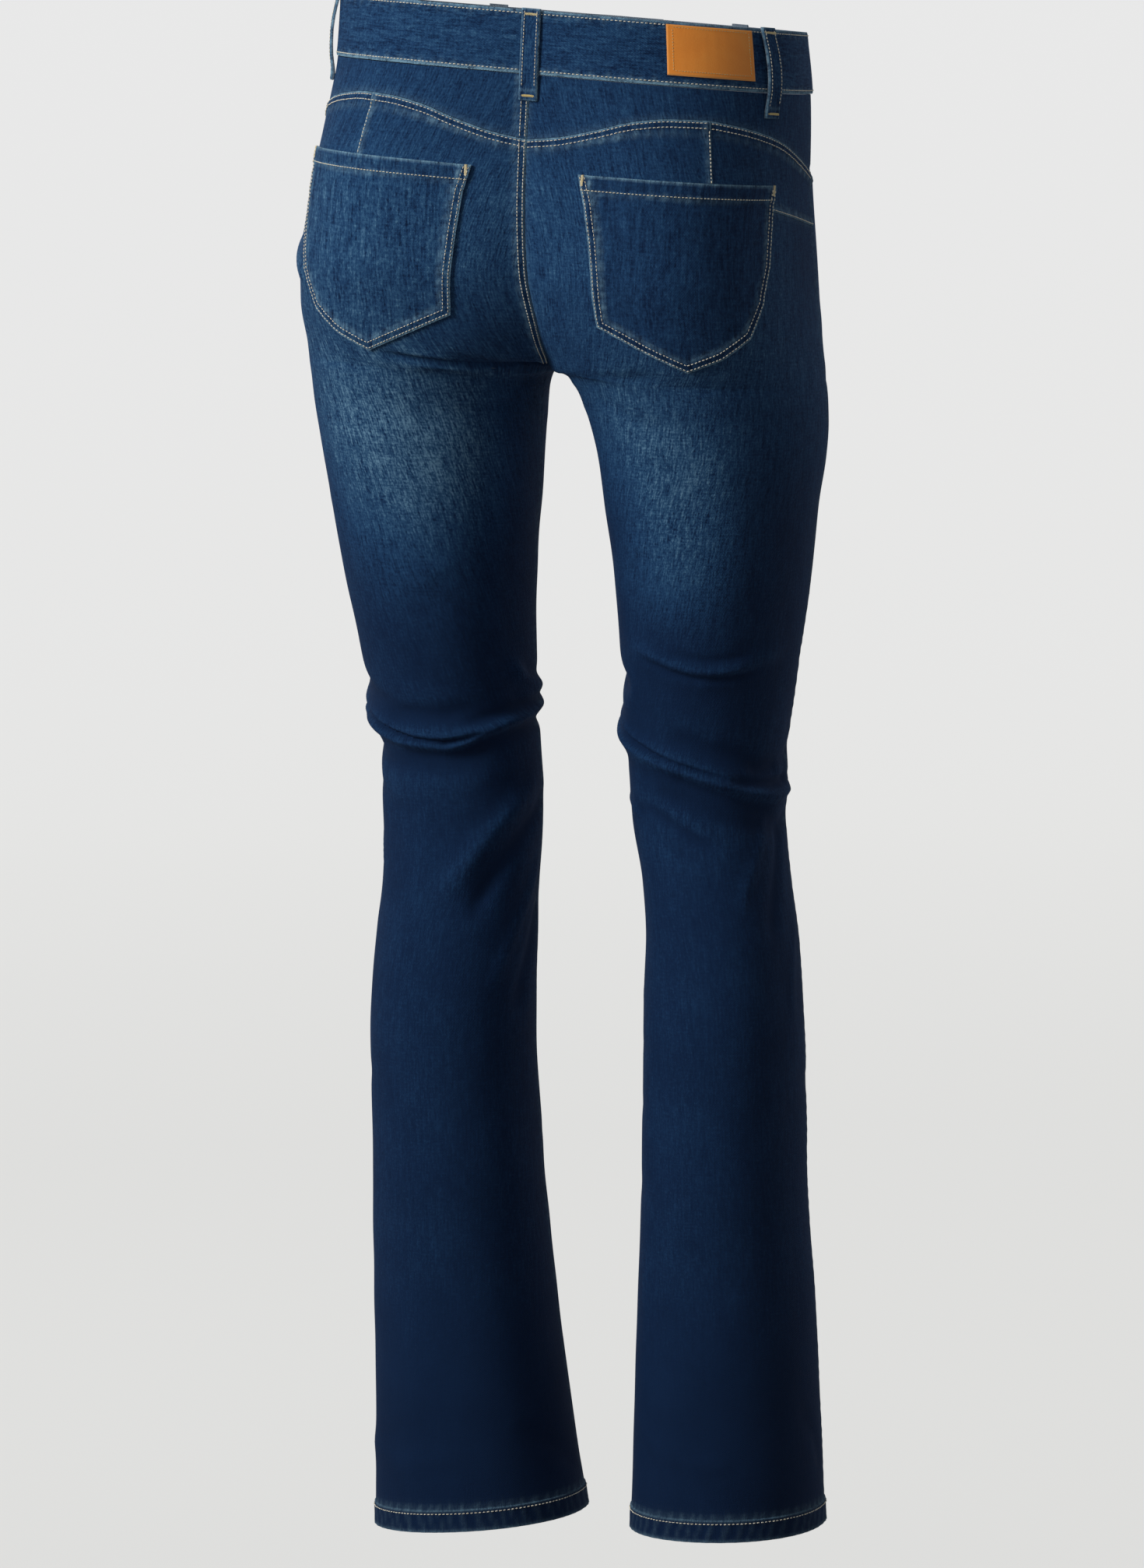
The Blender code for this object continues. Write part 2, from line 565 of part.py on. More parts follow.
def make_front(side):
    v, z = front_grid(side)
    rows, cols = v.shape
    every = slice(None)
    cells = np.ones((rows - 1, cols - 1), bool)
    sheet("front_leg_" + side, side, v, z, cells, DENIM, (
        (every, 0, "more"), (slice(6, rows), cols - 1, "less")))
    heights = np.array([PANEL_TOP, -6.0, -7.6, -8.9, -9.8, -10.6, -11.8])
    shares = np.linspace(0.0, 1.0, 10)
    edge = opening(np.maximum(heights, OPENING_FOOT))
    start = np.minimum(edge - 0.12, 0.86)
    v = start[:, None] + (1.0 - start[:, None]) * shares[None, :]
    z = np.broadcast_to(heights[:, None], v.shape).copy()
    whole = np.ones((len(heights) - 1, len(shares) - 1), bool)
    # The facing comes up from behind the front to the side seam, where it is sewn
    risen = np.clip((v - edge[:, None] - 0.04) / np.maximum(0.96 - edge[:, None], 0.02), 0.0, 1.0)
    risen = risen * smooth(-10.2, -8.9, z)
    out = (CLOTH + FACING_BACK) * (risen - 1.0)
    sheet("pocket_facing_" + side, side, v, z, whole, DENIM_DARK, (
        (slice(None), len(shares) - 1, "less"),), out=out, thick=1.1 * MM)


def line_v(side, z, reach):
    """v where the back surface lies this far out from the middle, on the back."""
    points = SURFACE[side][0]
    k = np.interp(-z, -LEVELS, np.arange(len(LEVELS)))
    found = np.zeros(np.shape(z))
    for index, level in np.ndenumerate(k):
        row = points[int(round(float(level)))]
        part = row[HALF - 1:]
        x = SIGN[side] * part[:, 0]
        top = int(np.argmax(part[:, 1]))
        use = slice(0, top + 6)
        order = np.argsort(x[use])
        found[index] = 1.0 + np.interp(reach, x[use][order], np.arange(len(part))[use][order]) / (HALF - 1)
    return found


def smooth_line(side):
    heights = np.linspace(-9.5, -23.5, 29)
    values = line_v(side, heights, POCKET_LINE[side])
    fit = np.polyfit(heights, values, 4)
    return lambda z: np.polyval(fit, z)


def pocket_place(side, centre, p, z):
    _, back = lengths_at(side, z)
    return centre(z) - p / back


def coons(inner, outer, top, bottom, shares_across, shares_down):
    """A grid of flat places filled in between four edges."""
    def along(points, count_share):
        points = np.array(points, float)
        step = np.concatenate([[0.0], np.cumsum(np.hypot(*np.diff(points, axis=0).T))])
        step /= step[-1]
        return np.stack([np.interp(count_share, step, points[:, k]) for k in (0, 1)], axis=-1)

    a, b = along(inner, shares_down), along(outer, shares_down)
    c, d = along(top, shares_across), along(bottom, shares_across)
    s = shares_across[None, :, None]
    t = shares_down[:, None, None]
    grid = (1 - s) * a[:, None] + s * b[:, None] + (1 - t) * c[None] + t * d[None]
    corner = (1 - s) * (1 - t) * c[0] + s * (1 - t) * c[-1] + (1 - s) * t * d[0] + s * t * d[-1]
    return grid - corner


def make_pocket(side):
    centre = smooth_line(side)
    across_share = np.array([0.0, 0.03, 0.11, 0.19, 0.28, 0.39, 0.5, 0.61, 0.72, 0.81, 0.89, 0.97, 1.0])
    down_share = np.array([0.0, 0.035, 0.09, 0.18, 0.3, 0.42, 0.54, 0.66, 0.78, 0.9, 0.965, 1.0])
    bottom = np.array(POCKET_BOTTOM)
    step = np.concatenate([[0.0], np.cumsum(np.hypot(*np.diff(bottom, axis=0).T))])
    step /= step[-1]
    # The grid's middle column runs to the point at the bottom of the pocket
    share = np.interp(across_share, [0.0, 0.5, 1.0], [0.0, step[2], 1.0])
    grid = coons(POCKET_INNER, POCKET_OUTER, ((-7.4, -10.2), (7.6, -10.2)), POCKET_BOTTOM, share, down_share)
    p, z = grid[..., 0], grid[..., 1]
    v = pocket_place(side, centre, p, z)
    lift = np.full(v.shape, POCKET_CLEAR)
    # The mouth stands a little open and the cloth swells over the middle
    swell = np.sin(math.pi * share)[None, :] ** 1.5
    mouth = np.exp(-down_share * 9.0)[:, None] * swell * 1.2 * MM
    inner = place(side, v, z, lift + mouth)
    hem = np.where(down_share < 0.1, POCKET_LIP, 0.0)[:, None]
    outer = place(side, v, z, lift + mouth + POCKET_CLOTH + hem)
    wall("back_pocket_" + side, outer, inner, DENIM_DARK)


def band_places():
    """Stations round the waistband: side, v and how far the lapping end is lifted."""
    front, back = lengths_at("right", -2.0)
    lap = LAP / front
    stations = [("right", v, 1.0) for v in np.linspace(lap, 0.0, 4)]
    left = np.concatenate([np.linspace(0.0, 1.0, 16), np.linspace(1.0, 2.0, 20)[1:]])
    for v in left[1:]:
        lift = float(1.0 - smooth(0.0, 0.16, v)) if v < 0.2 else 0.0
        stations.append(("left", v, lift))
    right = np.concatenate([np.linspace(2.0, 1.0, 20)[1:], np.linspace(1.0, 0.0, 16)[1:]])
    stations += [("right", v, 0.0) for v in right]
    return stations


def make_waistband():
    stations = band_places()
    heights = np.array([0.0, -0.35, -1.4, -2.8, -3.8, BAND_FOOT])
    round_off = np.array([-0.35, 0.0, 0.05, 0.05, 0.0, -0.3]) * MM
    over = BAND_DEPTH + CLEAR
    outer = np.zeros((len(heights), len(stations), 3))
    inner = np.zeros((len(heights), len(stations), 3))
    for j, (side, v, lift) in enumerate(stations):
        proud = BAND_PROUD + round_off + lift * over
        inside = BAND_PROUD - BAND_DEPTH + lift * over
        if v in (0.0, 2.0):
            outer[:, j] = 0.5 * (place("left", v, heights, proud) + place("right", v, heights, proud))
            low = place("left", v, heights, inside) + place("right", v, heights, inside)
            inner[:, j] = 0.5 * low
        else:
            outer[:, j] = place(side, v, heights, proud)
            inner[:, j] = place(side, v, heights, inside)
    wall("waistband", outer, inner, DENIM)


def loop_places(side, away, heights):
    """v over the width of a belt loop whose middle is this far from centre back (or front if below 0)."""
    front, back = lengths_at(side, -3.0)
    half = np.array([-0.5, -0.44, 0.0, 0.44, 0.5]) * LOOP_WIDTH
    if away >= 0:
        v = 2.0 - (away + half) / back
    else:
        v = (-away + half) / front
    return np.broadcast_to(v[None, :], (len(heights), len(half))), np.broadcast_to(heights[:, None], (len(heights), len(half)))


LOOP_ROWS = (
    (0.12, 0.0), (-0.15, 0.0), (-0.8, 0.42), (-1.6, 0.8), (-2.5, 1.0), (-3.4, 0.95), (-4.15, 0.72),
    (-4.7, 0.42), (-5.2, 0.12), (-5.5, 0.0), (-5.85, 0.0),
)


def loop_lift(heights, shares, bow):
    base = np.where(heights > -4.4, BAND_PROUD, 0.0)
    base = base + np.where(heights > -4.4, 0.0, BAND_PROUD * 0.9 * (1 - smooth(-4.4, -5.6, heights)))
    return CLEAR + 0.1 * MM + base + shares * bow


def make_loop(name, side, away, bow):
    heights = np.array([r[0] for r in LOOP_ROWS])
    shares = np.array([r[1] for r in LOOP_ROWS])
    lift = loop_lift(heights, shares, bow)
    thick = np.where(heights < -5.0, LOOP_CLOTH + 0.5 * MM, LOOP_CLOTH)
    if away is None:
        half = np.array([-0.5, -0.25, 0.0, 0.25, 0.5]) * LOOP_WIDTH * CM
        spine = 0.5 * (place("left", 2.0, heights, lift) + place("right", 2.0, heights, lift))
        cover = 0.5 * (place("left", 2.0, heights, lift + thick) + place("right", 2.0, heights, lift + thick))
        inner = spine[:, None] + half[None, :, None] * np.array([1.0, 0.0, 0.0])
        outer = cover[:, None] + half[None, :, None] * np.array([1.0, 0.0, 0.0])
        rise_off = np.abs(half) / (0.5 * LOOP_WIDTH * CM)
        inner[..., 1] += 0.65 * MM
        outer[..., 1] += (0.65 - 0.2 * rise_off[None, :] ** 4) * MM
        inner[..., 2] += half[None, :] * ROLL
        outer[..., 2] += half[None, :] * ROLL
    else:
        v, z = loop_places(side, away, heights)
        inner = place(side, v, z, lift[:, None] * np.ones(v.shape[1]))
        outer = place(side, v, z, (lift + thick)[:, None] * np.ones(v.shape[1]))
    wall(name, outer, inner, DENIM)


def make_patch():
    _, back = lengths_at("right", -2.0)
    shares = np.linspace(0.0, 1.0, 8)
    v = 2.0 - (PATCH_FROM + (PATCH_TO - PATCH_FROM) * shares) / back
    heights = np.array([PATCH_TOP, -1.3, -2.2, -3.1, PATCH_FOOT])
    v, z = np.meshgrid(v, heights)
    low = BAND_PROUD + CLEAR + 0.06 * MM
    inner = place("right", v, z, low)
    outer = place("right", v, z, low + PATCH_THICK)
    wall("patch", outer, inner, LEATHER, rough=0.6)


def turned(name, centre, axis, profile, steps, colour, rough=0.35, metal=1.0):
    """A turned body: the profile is (radius, height), from the axis at the foot to the axis at the top."""
    axis = np.array(axis) / np.linalg.norm(axis)
    side = np.cross(axis, (0.0, 0.0, 1.0))
    side /= np.linalg.norm(side)
    other = np.cross(axis, side)
    verts = [np.array(centre) + axis * profile[0][1]]
    for radius, height in profile[1:-1]:
        for k in range(steps):
            a = 2 * math.pi * k / steps
            verts.append(np.array(centre) + axis * height + radius * (math.cos(a) * side + math.sin(a) * other))
    verts.append(np.array(centre) + axis * profile[-1][1])
    faces = []
    rings = len(profile) - 2
    for k in range(steps):
        n = (k + 1) % steps
        faces.append((0, 1 + n, 1 + k))
        for r in range(rings - 1):
            a, b = 1 + r * steps, 1 + (r + 1) * steps
            faces.append((a + k, a + n, b + n, b + k))
        last = 1 + (rings - 1) * steps
        faces.append((last + k, last + n, len(verts) - 1))
    return solid(name, verts, faces, colour, rough, metal)


def fly_point(x, z, out):
    """A point beside the centre front line, x to the wearer's left."""
    side = "left" if x >= 0 else "right"
    front, _ = lengths_at(side, z)
    if abs(x) > 0.5:
        return place(side, abs(x) / front, z, out)
    middle = 0.5 * (place("left", 0.0, z, out) + place("right", 0.0, z, out))
    return middle + np.array([x, 0.0, x * ROLL]) * CM


def make_closure():
    front, _ = lengths_at("right", -2.0)
    v = 0.5 * LAP / front
    over = BAND_PROUD + BAND_DEPTH + CLEAR
    foot = place("right", v, -2.1, over)
    axis = place("right", v, -2.1, over + 1 * MM) - foot
    axis /= np.linalg.norm(axis)
    r = BUTTON_RADIUS
    turned("waist_button", foot + axis * 0.35 * MM, axis, (
        (0, 0), (r * 0.86, 0), (r * 0.98, 0.7 * MM), (r, 1.4 * MM), (r * 0.95, 2.1 * MM), (r * 0.84, 2.5 * MM),
        (r * 0.76, 2.3 * MM), (r * 0.66, 2.1 * MM), (r * 0.3, 2.5 * MM), (0, 2.6 * MM)), 24, METAL)
    # Zip tape: sewn to both fronts at its edges, set back in the middle where the slider runs
    heights = np.array([-4.7, -6.3, -8.0, -9.8, -11.6, -13.2, -14.6])
    half = np.array([-1.6, -1.3, -0.7, -0.3, -0.1, 0.1, 0.3, 0.7, 1.3, 1.6])
    depth = np.array([2.15, 2.15, 4.6, 4.6, 4.3, 4.3, 4.6, 4.6, 2.15, 2.15]) * MM
    outer = np.stack([fly_point(x, heights, -d) for x, d in zip(half, depth)], axis=1)
    inner = np.stack([fly_point(x, heights, -d - 1.0 * MM) for x, d in zip(half, depth)], axis=1)
    wall("fly_zip", outer, inner, TAPE)
    # Slider body with its pull hanging below, between the fly and the tape
    outline = np.array([(-0.32, 0.4), (0.32, 0.4), (0.36, 0.0), (0.26, -0.4), (0.16, -0.5), (0.18, -1.7),
                        (0.09, -1.9), (-0.09, -1.9), (-0.18, -1.7), (-0.16, -0.5), (-0.26, -0.4),
                        (-0.36, 0.0)])
    verts = [fly_point(x, -5.9 + z, -y) for y in (3.95 * MM, 2.2 * MM) for x, z in outline]
    n = len(outline)
    faces = [tuple(range(n)), tuple(range(2 * n - 1, n - 1, -1))]
    faces += [(k, k + n, (k + 1) % n + n, (k + 1) % n) for k in range(n)]
    solid("zip_slider", verts, faces, METAL, 0.35, 1.0)


def main():
    make_waistband()
    for side in ("left", "right"):
        make_back(side)
        make_front(side)
        make_pocket(side)
    make_loop("belt_loop_back", None, None, 0.4 * MM)
    make_loop("belt_loop_back_left", "left", 19.0, 3.2 * MM)
    make_loop("belt_loop_back_right", "right", 17.2, 3.6 * MM)
    make_loop("belt_loop_front_left", "left", -9.0, 1.6 * MM)
    make_loop("belt_loop_front_right", "right", -9.0, 2.0 * MM)
    make_patch()
    make_closure()


main()
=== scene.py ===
"""Looks of the slim fit jeans: finer shells on the forms of the cloth, with stitching and finishes.

The cloth follows the same surface as the solids: a place is (v, z), v 0 to 1 over the front and 1 to 2 over
the back of one side, z a row height in centimetres. Tables are in centimetres.
"""

import math

import bpy
import numpy as np
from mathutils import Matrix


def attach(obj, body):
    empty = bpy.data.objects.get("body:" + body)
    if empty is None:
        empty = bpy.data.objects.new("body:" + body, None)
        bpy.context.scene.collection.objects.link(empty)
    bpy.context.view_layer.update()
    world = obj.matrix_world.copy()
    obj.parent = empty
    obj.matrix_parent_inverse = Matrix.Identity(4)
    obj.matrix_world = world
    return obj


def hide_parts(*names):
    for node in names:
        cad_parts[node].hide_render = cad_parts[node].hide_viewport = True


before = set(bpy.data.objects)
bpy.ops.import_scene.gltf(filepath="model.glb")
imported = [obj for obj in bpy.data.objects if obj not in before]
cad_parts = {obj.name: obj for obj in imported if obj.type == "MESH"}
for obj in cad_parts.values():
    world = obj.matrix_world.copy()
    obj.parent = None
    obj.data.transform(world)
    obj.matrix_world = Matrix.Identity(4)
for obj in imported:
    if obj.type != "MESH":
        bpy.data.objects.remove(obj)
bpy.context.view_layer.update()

CM = 0.01
MM = 0.001

# Cloth and trim sizes
CLOTH = 1.3 * MM
SEAM = 0.15 * MM
CLEAR = 0.3 * MM
BAND_PROUD = 0.9 * MM
BAND_DEPTH = 2.3 * MM
BAND_FOOT = -4.15
PANEL_TOP = -4.2
HEM_TOP = -103.0
HEM_FOOT = -104.5
HEM_PROUD = 0.9 * MM
HEM_INSIDE = 0.8 * MM
POCKET_CLOTH = 1.2 * MM
POCKET_LIP = 0.7 * MM
POCKET_CLEAR = 0.6 * MM
FACING_CLOTH = 1.1 * MM
FACING_BACK = 1.9 * MM
LOOP_WIDTH = 1.3
LOOP_CLOTH = 1.8 * MM
PATCH_THICK = 1.5 * MM
PATCH_FROM = 9.3
PATCH_TO = 15.5
PATCH_TOP = -0.2
PATCH_FOOT = -3.5
LAP = 3.0
SIDE_SEAM_FORWARD = 1.7
INSEAM_FORWARD = 1.3
POCKET_LINE = {"left": 10.7, "right": 11.4}
SHORT_SEAM = {"left": 0.45, "right": 0.51}
OPENING_FOOT = -10.4
OPENING_TOP = 0.6

# Heights at which distances round the band and across the loops are read
BAND_READ = -2.0
LOOP_READ = -3.0
# In cm: further from a seam than its relief reaches
FAR = 9.0

# Pose: the hips drop to the wearer's right, the waist tips forward, the hems tip with the legs
ROLL = math.tan(math.radians(4.1))
TIP = math.tan(math.radians(2.8))
CROTCH = -24.1
CROTCH_Y = 0.5
RISE_BACK_FROM = -13.0
RISE_FRONT_FROM = -13.0
RISE_POWER = 2.4

# height, middle, left half, right half, front, back, centre front, centre back,
# front apex share, back apex share, side, squareness
TORSO = (
    (0.0, -0.40, 16.4, 15.6, -10.5, 10.4, -10.40, 10.25, 0.25, 0.15, -0.3, 2.2),
    (-4.2, -0.30, 16.5, 16.05, -11.0, 10.9, -10.90, 10.60, 0.30, 0.25, -0.3, 2.2),
    (-6.5, -0.25, 16.8, 16.1, -11.2, 11.3, -11.10, 10.80, 0.35, 0.33, -0.3, 2.2),
    (-9.0, -0.20, 17.2, 16.15, -11.2, 11.9, -11.10, 11.10, 0.38, 0.40, -0.3, 2.2),
    (-13.0, -0.15, 17.9, 16.4, -11.1, 12.8, -10.90, 11.40, 0.42, 0.45, -0.3, 2.2),
    (-17.0, -0.15, 18.5, 16.7, -10.7, 13.1, -10.9, 11.4, 0.45, 0.47, -0.2, 2.2),
    (-20.5, -0.35, 18.9, 16.9, -10.1, 12.5, -10.9, 11.4, 0.47, 0.48, 0.1, 2.15),
    (-22.8, -0.15, 18.4, 17.4, -9.7, 11.7, -10.9, 11.4, 0.49, 0.49, 0.3, 2.1),
    (-24.1, 0.50, 17.6, 18.2, -9.3, 11.0, -10.9, 11.4, 0.50, 0.50, 0.5, 2.1),
)

# height, left inner, left outer, right inner, right outer, front, back, side and inner y
LEGS = (
    (-24.1, 0.50, 18.10, -0.50, 17.70, -9.3, 11.0, 0.5),
    (-24.2, 0.95, 18.08, -0.05, 17.72, -9.28, 10.95, 0.5),
    (-24.6, 1.60, 18.02, 0.65, 17.78, -9.2, 10.8, 0.5),
    (-25.6, 2.00, 17.90, 1.25, 17.85, -9.1, 10.5, 0.4),
    (-27.2, 2.20, 17.75, 1.85, 17.90, -9.0, 10.0, 0.4),
    (-29.5, 2.35, 17.45, 2.42, 17.75, -8.8, 9.5, 0.3),
    (-33.2, 2.58, 16.84, 2.90, 17.20, -8.4, 8.7, 0.15),
    (-37.5, 2.93, 16.11, 3.50, 16.69, -8.0, 8.0, 0.0),
    (-41.8, 3.07, 15.27, 3.75, 16.10, -7.6, 7.2, -0.2),
    (-46.1, 3.02, 14.54, 3.90, 15.50, -7.2, 6.2, -0.5),
    (-50.4, 2.79, 13.79, 4.10, 15.05, -6.7, 5.4, -0.6),
    (-54.8, 2.55, 13.55, 4.50, 15.00, -6.2, 5.3, -0.4),
    (-59.1, 2.55, 13.25, 5.50, 15.50, -5.6, 6.1, 0.3),
    (-63.5, 2.45, 13.50, 6.00, 16.32, -5.0, 7.2, 1.1),
    (-70.0, 2.38, 13.70, 6.05, 16.93, -4.5, 8.2, 1.85),
    (-78.8, 1.87, 13.51, 5.95, 17.10, -4.6, 8.3, 1.85),
    (-87.6, 1.17, 13.67, 5.50, 17.58, -5.2, 7.8, 1.3),
    (-96.4, 0.13, 13.69, 5.16, 17.92, -5.6, 7.6, 1.0),
    (-104.8, -1.10, 13.80, 4.85, 18.25, -6.0, 7.5, 0.8),
)

# distance from centre back, height of the yoke seam
YOKE = (
    (0.0, -8.3), (2.0, -8.0), (4.5, -7.35), (7.0, -6.6), (9.4, -6.25), (11.5, -6.2),
    (13.5, -6.4), (15.5, -6.75), (17.7, -7.3), (20.4, -8.35), (23.0, -9.4), (27.0, -10.9),
)

# distance from centre back, height of the seam under the side insert
INSERT_FOOT = (
    (0.0, -11.9), (6.0, -11.3), (12.5, -11.3), (15.0, -11.6), (18.6, -12.3),
    (22.0, -13.0), (27.0, -13.9),
)

# rows of every leg panel: height at the inner line, height at the side seam
ROWS_RISE = (
    (-14.5, -15.3), (-17.0, -16.8), (-19.2, -18.3), (-21.0, -19.8), (-22.3, -21.2),
    (-23.2, -22.6), (-23.75, -24.0), (-24.02, -25.3),
)
ROWS_LEG = (
    (-24.1, -26.6), (-24.3, -27.9), (-24.9, -29.3), (-26.0, -30.8), (-27.6, -32.4),
    (-29.6, -34.2), (-32.0, -36.0), (-34.5, -38.0), (-37.0, -39.8), (-39.3, -41.3),
    (-41.3, -42.7), (-43.0, -44.0), (-44.3, -45.0), (-45.4, -46.0), (-46.4, -47.0),
    (-47.4, -47.9), (-48.4, -48.8), (-49.4, -49.7), (-50.4, -50.6), (-51.4, -51.5),
    (-52.4, -52.4), (-53.4, -53.4), (-54.5, -54.5), (-55.8, -55.8), (-57.4, -57.4),
    (-59.4, -59.4), (-62.0, -62.0), (-65.0, -65.0), (-68.5, -68.5), (-72.0, -72.0),
    (-75.5, -75.5), (-79.0, -79.0), (-82.5, -82.5), (-86.0, -86.0), (-89.5, -89.5),
    (-93.0, -93.0), (-96.5, -96.5), (-100.0, -100.0), (-102.8, -102.8),
    (-103.0, -103.0), (-104.5, -104.5),
)

# back pocket, seen flat: distance outward from the pocket line, height
POCKET_INNER = ((-7.4, -10.2), (-6.9, -12.0), (-6.5, -14.5), (-6.2, -17.0), (-5.9, -20.1))
POCKET_OUTER = ((7.6, -10.2), (7.5, -12.8), (7.25, -15.6), (6.5, -18.2), (4.9, -20.5))
POCKET_BOTTOM = ((-5.9, -20.1), (-3.0, -21.5), (0.0, -22.9), (2.5, -21.95), (4.9, -20.5))

# folds of each side: (v, height) along the fold, height of it in mm, half width in cm
FOLDS = {
    "left": (
        (((0.9, -45.4), (1.05, -46.4), (1.2, -48.4), (1.4, -49.6), (1.6, -49.3), (1.8, -48.2),
          (2.0, -47.4)), 4.4, 1.0),
        (((1.02, -43.8), (1.2, -46.0), (1.4, -47.6), (1.55, -47.9), (1.75, -47.0)), -2.6, 0.9),
        (((0.95, -48.2), (1.1, -49.6), (1.3, -51.4), (1.55, -51.6), (1.8, -50.4)), -2.6, 1.0),
        (((1.88, -52.8), (1.7, -55.7), (1.6, -58.0), (1.5, -61.0)), 2.6, 1.2),
        (((1.78, -44.4), (1.96, -46.0), (2.25, -46.6)), 3.4, 0.9),
        (((1.12, -16.2), (1.28, -17.6), (1.4, -19.0)), 3.0, 0.9),
        (((1.55, -22.7), (1.65, -23.8), (1.78, -24.1), (1.9, -24.1)), -1.6, 0.6),
        (((0.85, -43.5), (0.65, -45.6), (0.4, -46.2), (0.15, -44.8)), -2.4, 1.1),
        (((0.85, -49.5), (0.6, -50.4), (0.3, -49.8)), 2.2, 1.2),
    ),
    "right": (
        (((1.55, -23.4), (1.7, -24.0), (1.88, -24.0)), -1.4, 0.6),
        (((1.75, -42.0), (1.58, -43.6), (1.44, -44.4), (1.28, -43.4), (1.12, -42.2)), 2.2, 1.0),
        (((2.2, -42.8), (1.98, -43.5), (1.85, -44.8), (1.7, -46.0)), -4.2, 0.9),
        (((2.25, -46.0), (1.98, -47.6), (1.84, -48.9), (1.66, -50.2), (1.5, -51.0), (1.34, -52.3),
          (1.17, -52.9), (0.9, -52.0)), 4.4, 1.0),
        (((1.6, -48.4), (1.42, -49.6), (1.25, -50.8), (1.05, -50.6), (0.88, -49.4)), -3.0, 0.9),
        (((1.7, -52.2), (1.5, -53.2), (1.3, -54.6), (1.1, -55.2), (0.9, -54.4)), -3.2, 0.9),
        (((1.76, -53.6), (1.62, -55.0), (1.46, -57.0)), -1.8, 0.9),
        (((0.85, -46.6), (0.6, -48.2), (0.3, -47.6)), -2.6, 1.1),
        (((0.8, -52.6), (0.6, -53.8), (0.25, -52.8)), 2.2, 1.2),
    ),
}


def smooth(low, high, value):
    t = np.clip((value - low) / (high - low), 0.0, 1.0)
    return t * t * (3.0 - 2.0 * t)


def bell(value, width, middle=0.0):
    """A bump: 1 at the middle, fading out over the width."""
    return np.exp(-(((value - middle) / width) ** 2))


def arc_along(path):
    """Length of a flat path up to each of its points."""
    return np.concatenate([[0.0], np.cumsum(np.hypot(*np.diff(path, axis=0).T))])


def curve(points, values):
    """A smooth curve through the rows of a table that makes no overshoot between them."""
    x = np.asarray(points, float)
    y = np.asarray(values, float)
    if x[0] > x[-1]:
        x, y = x[::-1], y[::-1]
    step = np.diff(x)
    slope = np.diff(y) / step
    same = slope[:-1] * slope[1:] > 0
    first, second = 2 * step[1:] + step[:-1], step[1:] + 2 * step[:-1]
    safe_a = np.where(same, slope[:-1], 1.0)
    safe_b = np.where(same, slope[1:], 1.0)
    inner = np.where(same, (first + second) / (first / safe_a + second / safe_b), 0.0)
    tangent = np.concatenate([[slope[0]], inner, [slope[-1]]])

    def at(value):
        value = np.clip(value, x[0], x[-1])
        k = np.clip(np.searchsorted(x, value) - 1, 0, len(step) - 1)
        t = (value - x[k]) / step[k]
        a = (1 + 2 * t) * (1 - t) ** 2 * y[k] + t * (1 - t) ** 2 * step[k] * tangent[k]
        return a + t * t * (3 - 2 * t) * y[k + 1] + t * t * (t - 1) * step[k] * tangent[k + 1]

    return at


def columns(table):
    rows = np.array(table, float)
    return [curve(rows[:, 0], rows[:, k]) for k in range(1, rows.shape[1])]


TORSO_AT = columns(TORSO)
LEGS_AT = columns(LEGS)
YOKE_AT = columns(YOKE)[0]
INSERT_FOOT_AT = columns(INSERT_FOOT)[0]

# Inner edges of the legs leave the crotch like an arch, so they are read against the root of the drop
_legs = np.array(LEGS)
_root = np.sqrt(CROTCH - _legs[:, 0])
INNER_AT = {"left": curve(_root, _legs[:, 1]), "right": curve(_root, _legs[:, 3])}
SIGN = {"left": 1.0, "right": -1.0}
ARC = 36
HALF = 65


def rise(z, start, start_y):
    t = np.clip((start - z) / (start - CROTCH), 0.0, 1.0)
    return CROTCH_Y + (start_y - CROTCH_Y) * (1.0 - t**RISE_POWER) ** (1.0 / RISE_POWER)


def quarter(centre, reach, angle, power):
    """Points of a rounded-square arc: angle 0 at the apex, a right angle at the side."""
    x = centre[0] + reach[0] * np.sin(angle) ** (2.0 / power)
    y = centre[1] + reach[1] * np.cos(angle) ** (2.0 / power)
    return np.stack([x, y], axis=-1)


